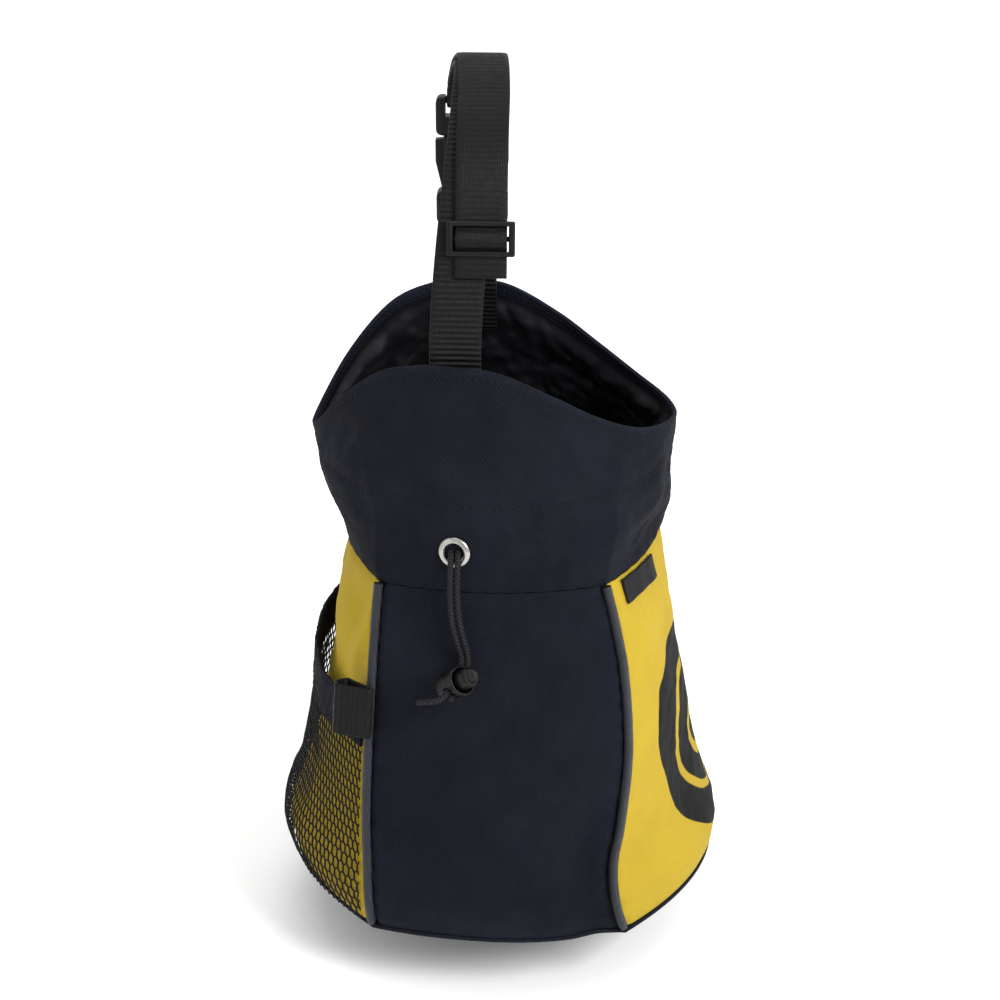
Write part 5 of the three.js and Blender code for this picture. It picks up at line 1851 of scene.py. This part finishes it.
class CHALKBAG_OT_pocket(Step):
    """The net pocket and the band along its edge."""

    bl_idname = "chalk_bag.pocket"
    bl_label = "Net Pocket"

    def make(self):
        self.net()
        self.band()

    def net(self):
        wide, tall = 1000 * sizes().net_width, 1000 * sizes().net_height
        thread = 1000 * sizes().net_thread
        arc = POCKET_SPAN
        pitch = 0.75 * tall
        lowest = BASE_WALL + SEAM_GAP
        most = POCKET_HIGH_EDGE + 1.5
        across_count, up_count = int(arc / wide) + 2, int((most - lowest) / pitch) + 2
        half = [(0, 0.5), (-0.25, 0.375), (-0.5, 0.25), (-0.5, 0), (-0.5, -0.25), (-0.25, -0.375)]
        outline = half + [(-x, -y) for x, y in half]
        points, faces = [], []
        for row in range(up_count):
            for column in range(across_count):
                middle = ((column + 0.5 * (row % 2)) * wide, lowest + row * pitch)
                share = margin_share(middle[0] / arc)
                if middle[0] > arc + wide / 2 or middle[1] > float(pocket_edge(share)) + pitch / 2:
                    continue
                first = len(points)
                for x, y in outline:
                    points.append((middle[0] + x * wide, middle[1] + y * tall))
                for x, y in outline:
                    reach = math.hypot(x * wide, y * tall)
                    keep = 1 - (thread * 0.5) / reach * 1.12
                    points.append((middle[0] + x * wide * keep, middle[1] + y * tall * keep))
                for k in range(12):
                    after = (k + 1) % 12
                    faces.append((first + k, first + after, first + 12 + after, first + 12 + k))
        flat = np.array(points)
        flat[:, 0] = np.clip(flat[:, 0], 0, arc)
        across = margin_share(flat[:, 0] / arc)
        flat[:, 1] = np.clip(flat[:, 1], lowest, pocket_edge(across) + 1)
        wrinkle = 0.5 * ripple(flat[:, 0], flat[:, 1], 40, 3.1) * np.sin(np.pi * across)
        placed = pocket_point(across, flat[:, 1], 0.9 + wrinkle)
        mesh = bpy.data.meshes.new("pocket_net")
        mesh.from_pydata(hung(placed).tolist(), [], faces)
        piece = linked("pocket_net", mesh)
        layer = mesh.uv_layers.new(name="UVMap")
        corners = np.empty(len(mesh.loops), int)
        mesh.loops.foreach_get("vertex_index", corners)
        layer.data.foreach_set("uv", (flat[corners] / 1000).ravel())
        merged(piece, 2e-5)
        bpy.ops.object.mode_set(mode="EDIT")
        bpy.ops.mesh.select_all(action="SELECT")
        bpy.ops.mesh.dissolve_degenerate(threshold=5e-6)
        bpy.ops.mesh.normals_make_consistent(inside=False)
        bpy.ops.object.mode_set(mode="OBJECT")
        thickened(piece, 0.0005)
        smoothed(piece, 80)
        dressed(piece, "bag", "mesh", net_material(), "mesh_pocket")

    def band(self):
        loop = section(BAND_HEIGHT / 2, BAND_THICKNESS / 2, 26, 4)
        count, rows = len(loop), 150

        def place(u, v):
            i = step_of(u, count) % count
            across = mix(pocket_margin(), 1 - pocket_margin(), v)
            up, out = loop[i, 0], -loop[i, 1]
            height = pocket_edge(across) + SEAM_GAP + BAND_HEIGHT / 2 + up
            groove = 0.3 * bell(abs(up) - BAND_HEIGHT / 2 + BAND_STITCH, 0.7) * (out > 0)
            along = v * BAND_SPAN
            soft = 0.5 * ripple(along, up, 22, 0.6) + 0.2 * ripple(along, up, 8, 1.6)
            ends = smooth_step(np.minimum(v, 1 - v), 0, 0.06)
            lift = BAND_THICKNESS / 2 + out - groove + ends * soft * 0.8
            return pocket_point(across, height, lift)

        def flat(u, v):
            i = step_of(u, count) % count
            return in_metres(v * BAND_SPAN, loop[i, 0] + BACK_OFFSET * (loop[i, 1] > 0))

        def wear(u, v):
            i = step_of(u, count) % count
            return bell(abs(loop[i, 0]) - BAND_HEIGHT / 2, 1.2)

        piece = patch("pocket_band_cloth", count, rows, place, flat, wear, looped=True, capped=True)
        merged(piece, 1e-6, recalculate=True)
        smoothed(piece, 50)
        dressed(piece, "bag", "black_fabric", shell_material(), "pocket_band")


def margin_share(share):
    return mix(pocket_margin(), 1 - pocket_margin(), share)


def loop_frame():
    """Axes and origin of the brush loop at its lower edge."""
    level = LOOP_MIDDLE_HEIGHT / BODY_HEIGHT
    corner = Vector(body_corner(level, 0).tolist())
    above = Vector(body_corner(level + 0.05, 0).tolist())
    across, height = np.array([0.9]), np.array([LOOP_MIDDLE_HEIGHT])
    panel = pocket_point(across, height, BAND_THICKNESS + SEAM_GAP)[0]
    upward = (above - corner).normalized()
    run = Vector(panel.tolist()) - corner
    in_plane = (run - upward * run.dot(upward)).normalized()
    outward = upward.cross(in_plane)
    base = corner - upward * LOOP_HEIGHT / 2 + outward * (PIPING_RADIUS + 2 * SEAM_GAP)
    return in_plane, outward, upward, base


class CHALKBAG_OT_brush_loop(Step):
    """The webbing loop over the front left piping."""

    bl_idname = "chalk_bag.brush_loop"
    bl_label = "Brush Loop"

    def make(self):
        in_plane, outward, upward, base = (np.array(axis) for axis in loop_frame())
        along = LOOP_SECTION["along"] * LOOP_REACH - LOOP_PAST_CORNER
        outline = np.stack((along, LOOP_SECTION["out"] * LOOP_DEPTH), axis=-1)
        middle = self.middle_line(outline)
        loop = section(LOOP_HEIGHT / 2, LOOP_WALL / 2, 22, 4)
        count, rows = len(loop), len(middle)
        run = np.roll(middle, -1, axis=0) - np.roll(middle, 1, axis=0)
        run = unit(run)
        out = np.stack((run[:, 1], -run[:, 0]), axis=-1)
        reached = reached_along(middle)

        def place(u, v):
            i = step_of(u, count) % count
            j = step_of(v, rows) % rows
            up, through = loop[i, 0] + LOOP_HEIGHT / 2, loop[i, 1]
            soft = 0.12 * ripple(reached[j], up, 11, 0.8)
            at = middle[j] + out[j] * (through + soft)[:, None]
            return base + in_plane * at[:, :1] + outward * at[:, 1:] + upward * up[:, None]

        def flat(u, v):
            i = step_of(u, count) % count
            j = step_of(v, rows) % rows
            return in_metres(loop[i, 0] + BACK_OFFSET * (loop[i, 1] > 0), reached[j])

        def wear(u, v):
            i = step_of(u, count) % count
            return bell(abs(loop[i, 0]) - LOOP_HEIGHT / 2, 1.2)

        piece = patch("brush_loop_webbing", count, rows, place, flat, wear, looped=True)
        merged(piece, 1e-6, recalculate=True)
        smoothed(piece, 50)
        dressed(piece, "bag", "webbing", webbing_material(), "brush_loop")

    def middle_line(self, outline):
        """Closed line in the middle of the loop's wall, evenly stepped, with softened corners."""
        closed = np.vstack((outline, outline[:1]))
        lengths = reached_along(closed)
        reached = np.linspace(0, lengths[-1], 150, endpoint=False)
        line = between(reached, lengths, closed)
        for _ in range(6):
            line = (np.roll(line, 1, axis=0) + 2 * line + np.roll(line, -1, axis=0)) / 4
        run = np.roll(line, -1, axis=0) - np.roll(line, 1, axis=0)
        run = unit(run)
        return line + np.stack((-run[:, 1], run[:, 0]), axis=-1) * LOOP_WALL / 2


class CHALKBAG_OT_tag(Step):
    """The plain woven label under the waist seam."""

    bl_idname = "chalk_bag.tag"
    bl_label = "Side Label"

    def make(self):
        width = float(side_width(1.0, 1))
        loop = section(TAG_HEIGHT / 2, TAG_THICKNESS / 2, 16, 4)
        count, rows = len(loop), 60

        def place(u, v):
            i = step_of(u, count) % count
            up, out = loop[i, 0], -loop[i, 1]
            across = (TAG_FROM_PIPING + v * TAG_WIDTH) / width
            level = 1 - (SEAM_GAP + TAG_HEIGHT / 2 - up) / BODY_HEIGHT
            curl = 0.5 * np.maximum(0, 0.2 - up / TAG_HEIGHT) ** 2 * (1 + np.cos(2 * np.pi * v))
            lift = SEAM_GAP + TAG_THICKNESS / 2 + out + curl + 0.12 * np.sin(v * 17)
            return inset(body_point(1, across, level), -lift)

        def flat(u, v):
            i = step_of(u, count) % count
            return in_metres(v * TAG_WIDTH, loop[i, 0] + BACK_OFFSET * (loop[i, 1] > 0))

        def wear(u, v):
            i = step_of(u, count) % count
            low = bell(loop[i, 0] + TAG_HEIGHT / 2, 0.7)
            border = bell(np.minimum(v, 1 - v) * TAG_WIDTH - 1.4, 0.3)
            return 0.4 * low + 0.5 * border

        piece = patch("side_label", count, rows, place, flat, wear, looped=True, capped=True)
        merged(piece, 1e-6, recalculate=True)
        smoothed(piece, 50)
        dressed(piece, "bag", "tag", label_material(), "side_tag")


def stitched(name, lines, slot, material, length):
    """Rows of stitches: each line is points and the directions that leave the cloth there."""
    around, stations = 6, np.array((-1, -0.78, -0.3, 0.3, 0.78, 1))
    thick = 500 * sizes().stitch_width
    pitch = 1000 * sizes().stitch_pitch
    points, faces = [], []
    for line, out in lines:
        reached = reached_along(line)
        count = max(1, int(reached[-1] / pitch))
        places = (np.arange(count) + 0.5) * reached[-1] / count
        for place in places:
            here = between(place, reached, line)
            ahead = between(place + 0.5, reached, line)
            behind = between(place - 0.5, reached, line)
            run = (ahead - behind) / np.linalg.norm(ahead - behind)
            leave = between(place, reached, out)
            leave = leave - run * leave.dot(run)
            leave /= np.linalg.norm(leave)
            aside = np.cross(run, leave)
            first = len(points)
            for s in stations:
                middle = here + run * s * length / 2 + leave * (0.16 - 0.42 * s**4)
                size = thick * (1 - 0.45 * s**4)
                for k in range(around):
                    angle = 2 * math.pi * k / around
                    spoke = aside * math.cos(angle) + leave * math.sin(angle) * 0.8
                    points.append(middle + size * spoke)
            for r in range(len(stations) - 1):
                for k in range(around):
                    a, b = first + r * around + k, first + r * around + (k + 1) % around
                    faces.append((a, b, b + around, a + around))
            last = first + (len(stations) - 1) * around
            faces.append(tuple(first + k for k in reversed(range(around))))
            faces.append(tuple(last + k for k in range(around)))
    mesh = bpy.data.meshes.new(name)
    mesh.from_pydata(hung(np.array(points)).tolist(), [], faces)
    piece = linked(name, mesh)
    merged(piece, 1e-7, recalculate=True)
    smoothed(piece, 70)
    return dressed(piece, "bag", slot, material)


def line_on(surface, first, second):
    """Line of points on a surface and the directions that leave it."""
    step = 0.002
    points = surface(first, second)
    across = surface(first + step, second) - points
    up = surface(first, second + step) - points
    out = np.cross(across, up)
    return points, unit(out)


class CHALKBAG_OT_stitches(Step):
    """The sewing: hem, channel, pocket band and loop."""

    bl_idname = "chalk_bag.stitches"
    bl_label = "Stitches"

    def make(self):
        black = thread_material("black_thread", (0.004, 0.004, 0.005))

        def collar(ring, up):
            return inset(collar_ring(ring, up), collar_relief(ring, up, False))

        def inside(ring, up):
            return inset(collar_ring(ring, up), COLLAR_WALL - 0.05)

        def band(across, height):
            return pocket_point(across, height, BAND_THICKNESS - 0.2)

        ring = np.linspace(0, 4, 900)
        hem_up = np.full(ring.shape, 1 - HEM_STITCH / COLLAR_SPAN)
        hem = line_on(collar, ring, hem_up)
        heights = rim_height(collar_ring(ring, np.ones(ring.shape))[:, 0])
        channel = line_on(collar, ring, (CHANNEL_HEIGHT - BODY_HEIGHT) / (heights - BODY_HEIGHT))
        stitched("collar_stitches", [hem, channel], "black_fabric", black, HEM_STITCH_LENGTH)
        points, out = line_on(inside, ring, hem_up)
        stitched("hem_inside_stitches", [(points, -out)], "black_fabric", black, HEM_STITCH_LENGTH)
        across = np.linspace(pocket_margin(), 1 - pocket_margin(), 240)
        rows = [
            line_on(band, across, pocket_edge(across) + SEAM_GAP + rise)
            for rise in (BAND_STITCH, BAND_HEIGHT - BAND_STITCH)
        ]
        stitched("band_stitches", rows, "black_fabric", black, BAND_STITCH_LENGTH)
        in_plane, outward, upward, base = (np.array(axis) for axis in loop_frame())
        rows = []
        for place in LOOP_STITCHES:
            height = np.linspace(1.0, LOOP_HEIGHT - 1.0, 30)
            line = base + in_plane * (place - LOOP_PAST_CORNER)
            line = line + outward * (0.34 * LOOP_DEPTH + 0.02) + upward * height[:, None]
            rows.append((line, np.repeat(outward[None], 30, axis=0)))
        stitched("loop_stitches", rows, "webbing", black, LOOP_STITCH_LENGTH)


class CHALKBAG_PT_panel(bpy.types.Panel):
    """Sizes, colours and steps of the chalk bag."""

    bl_idname = "CHALKBAG_PT_panel"
    bl_label = "Chalk Bag"
    bl_space_type = "VIEW_3D"
    bl_region_type = "UI"
    bl_category = "Chalk Bag"

    def draw(self, context):
        column = self.layout.column()
        for group in (context.scene.chalk_bag_sizes, context.scene.chalk_bag_colours):
            for name in group.__annotations__:
                column.prop(group, name)
        for step in STEPS:
            column.operator(step.bl_idname)


STEPS = (
    CHALKBAG_OT_stage,
    CHALKBAG_OT_drawcord,
    CHALKBAG_OT_panels,
    CHALKBAG_OT_pipings,
    CHALKBAG_OT_base,
    CHALKBAG_OT_collar,
    CHALKBAG_OT_lining,
    CHALKBAG_OT_eyelet,
    CHALKBAG_OT_cord_lock,
    CHALKBAG_OT_straps,
    CHALKBAG_OT_fittings,
    CHALKBAG_OT_pocket,
    CHALKBAG_OT_brush_loop,
    CHALKBAG_OT_tag,
    CHALKBAG_OT_stitches,
)
CLASSES = (ChalkBagSizes, ChalkBagColours, *STEPS, CHALKBAG_PT_panel)


def register():
    for each in CLASSES:
        bpy.utils.register_class(each)
    bpy.types.Scene.chalk_bag_sizes = PointerProperty(type=ChalkBagSizes)
    bpy.types.Scene.chalk_bag_colours = PointerProperty(type=ChalkBagColours)


def unregister():
    del bpy.types.Scene.chalk_bag_colours
    del bpy.types.Scene.chalk_bag_sizes
    for each in reversed(CLASSES):
        bpy.utils.unregister_class(each)


def corners(box):
    return [[float(number) for number in corner] for corner in box]


def main():
    register()
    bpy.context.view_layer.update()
    bpy.ops.chalk_bag.stage()
    bpy.ops.chalk_bag.cord_lock()
    bpy.ops.chalk_bag.drawcord()
    bpy.ops.chalk_bag.panels()
    bpy.ops.chalk_bag.pipings()
    bpy.ops.chalk_bag.base()
    bpy.ops.chalk_bag.collar()
    bpy.ops.chalk_bag.lining()
    bpy.ops.chalk_bag.eyelet()
    bpy.ops.chalk_bag.straps()
    bpy.ops.chalk_bag.fittings()
    bpy.ops.chalk_bag.pocket()
    bpy.ops.chalk_bag.brush_loop()
    bpy.ops.chalk_bag.tag()
    bpy.ops.chalk_bag.stitches()


if __name__ == "__main__":
    main()
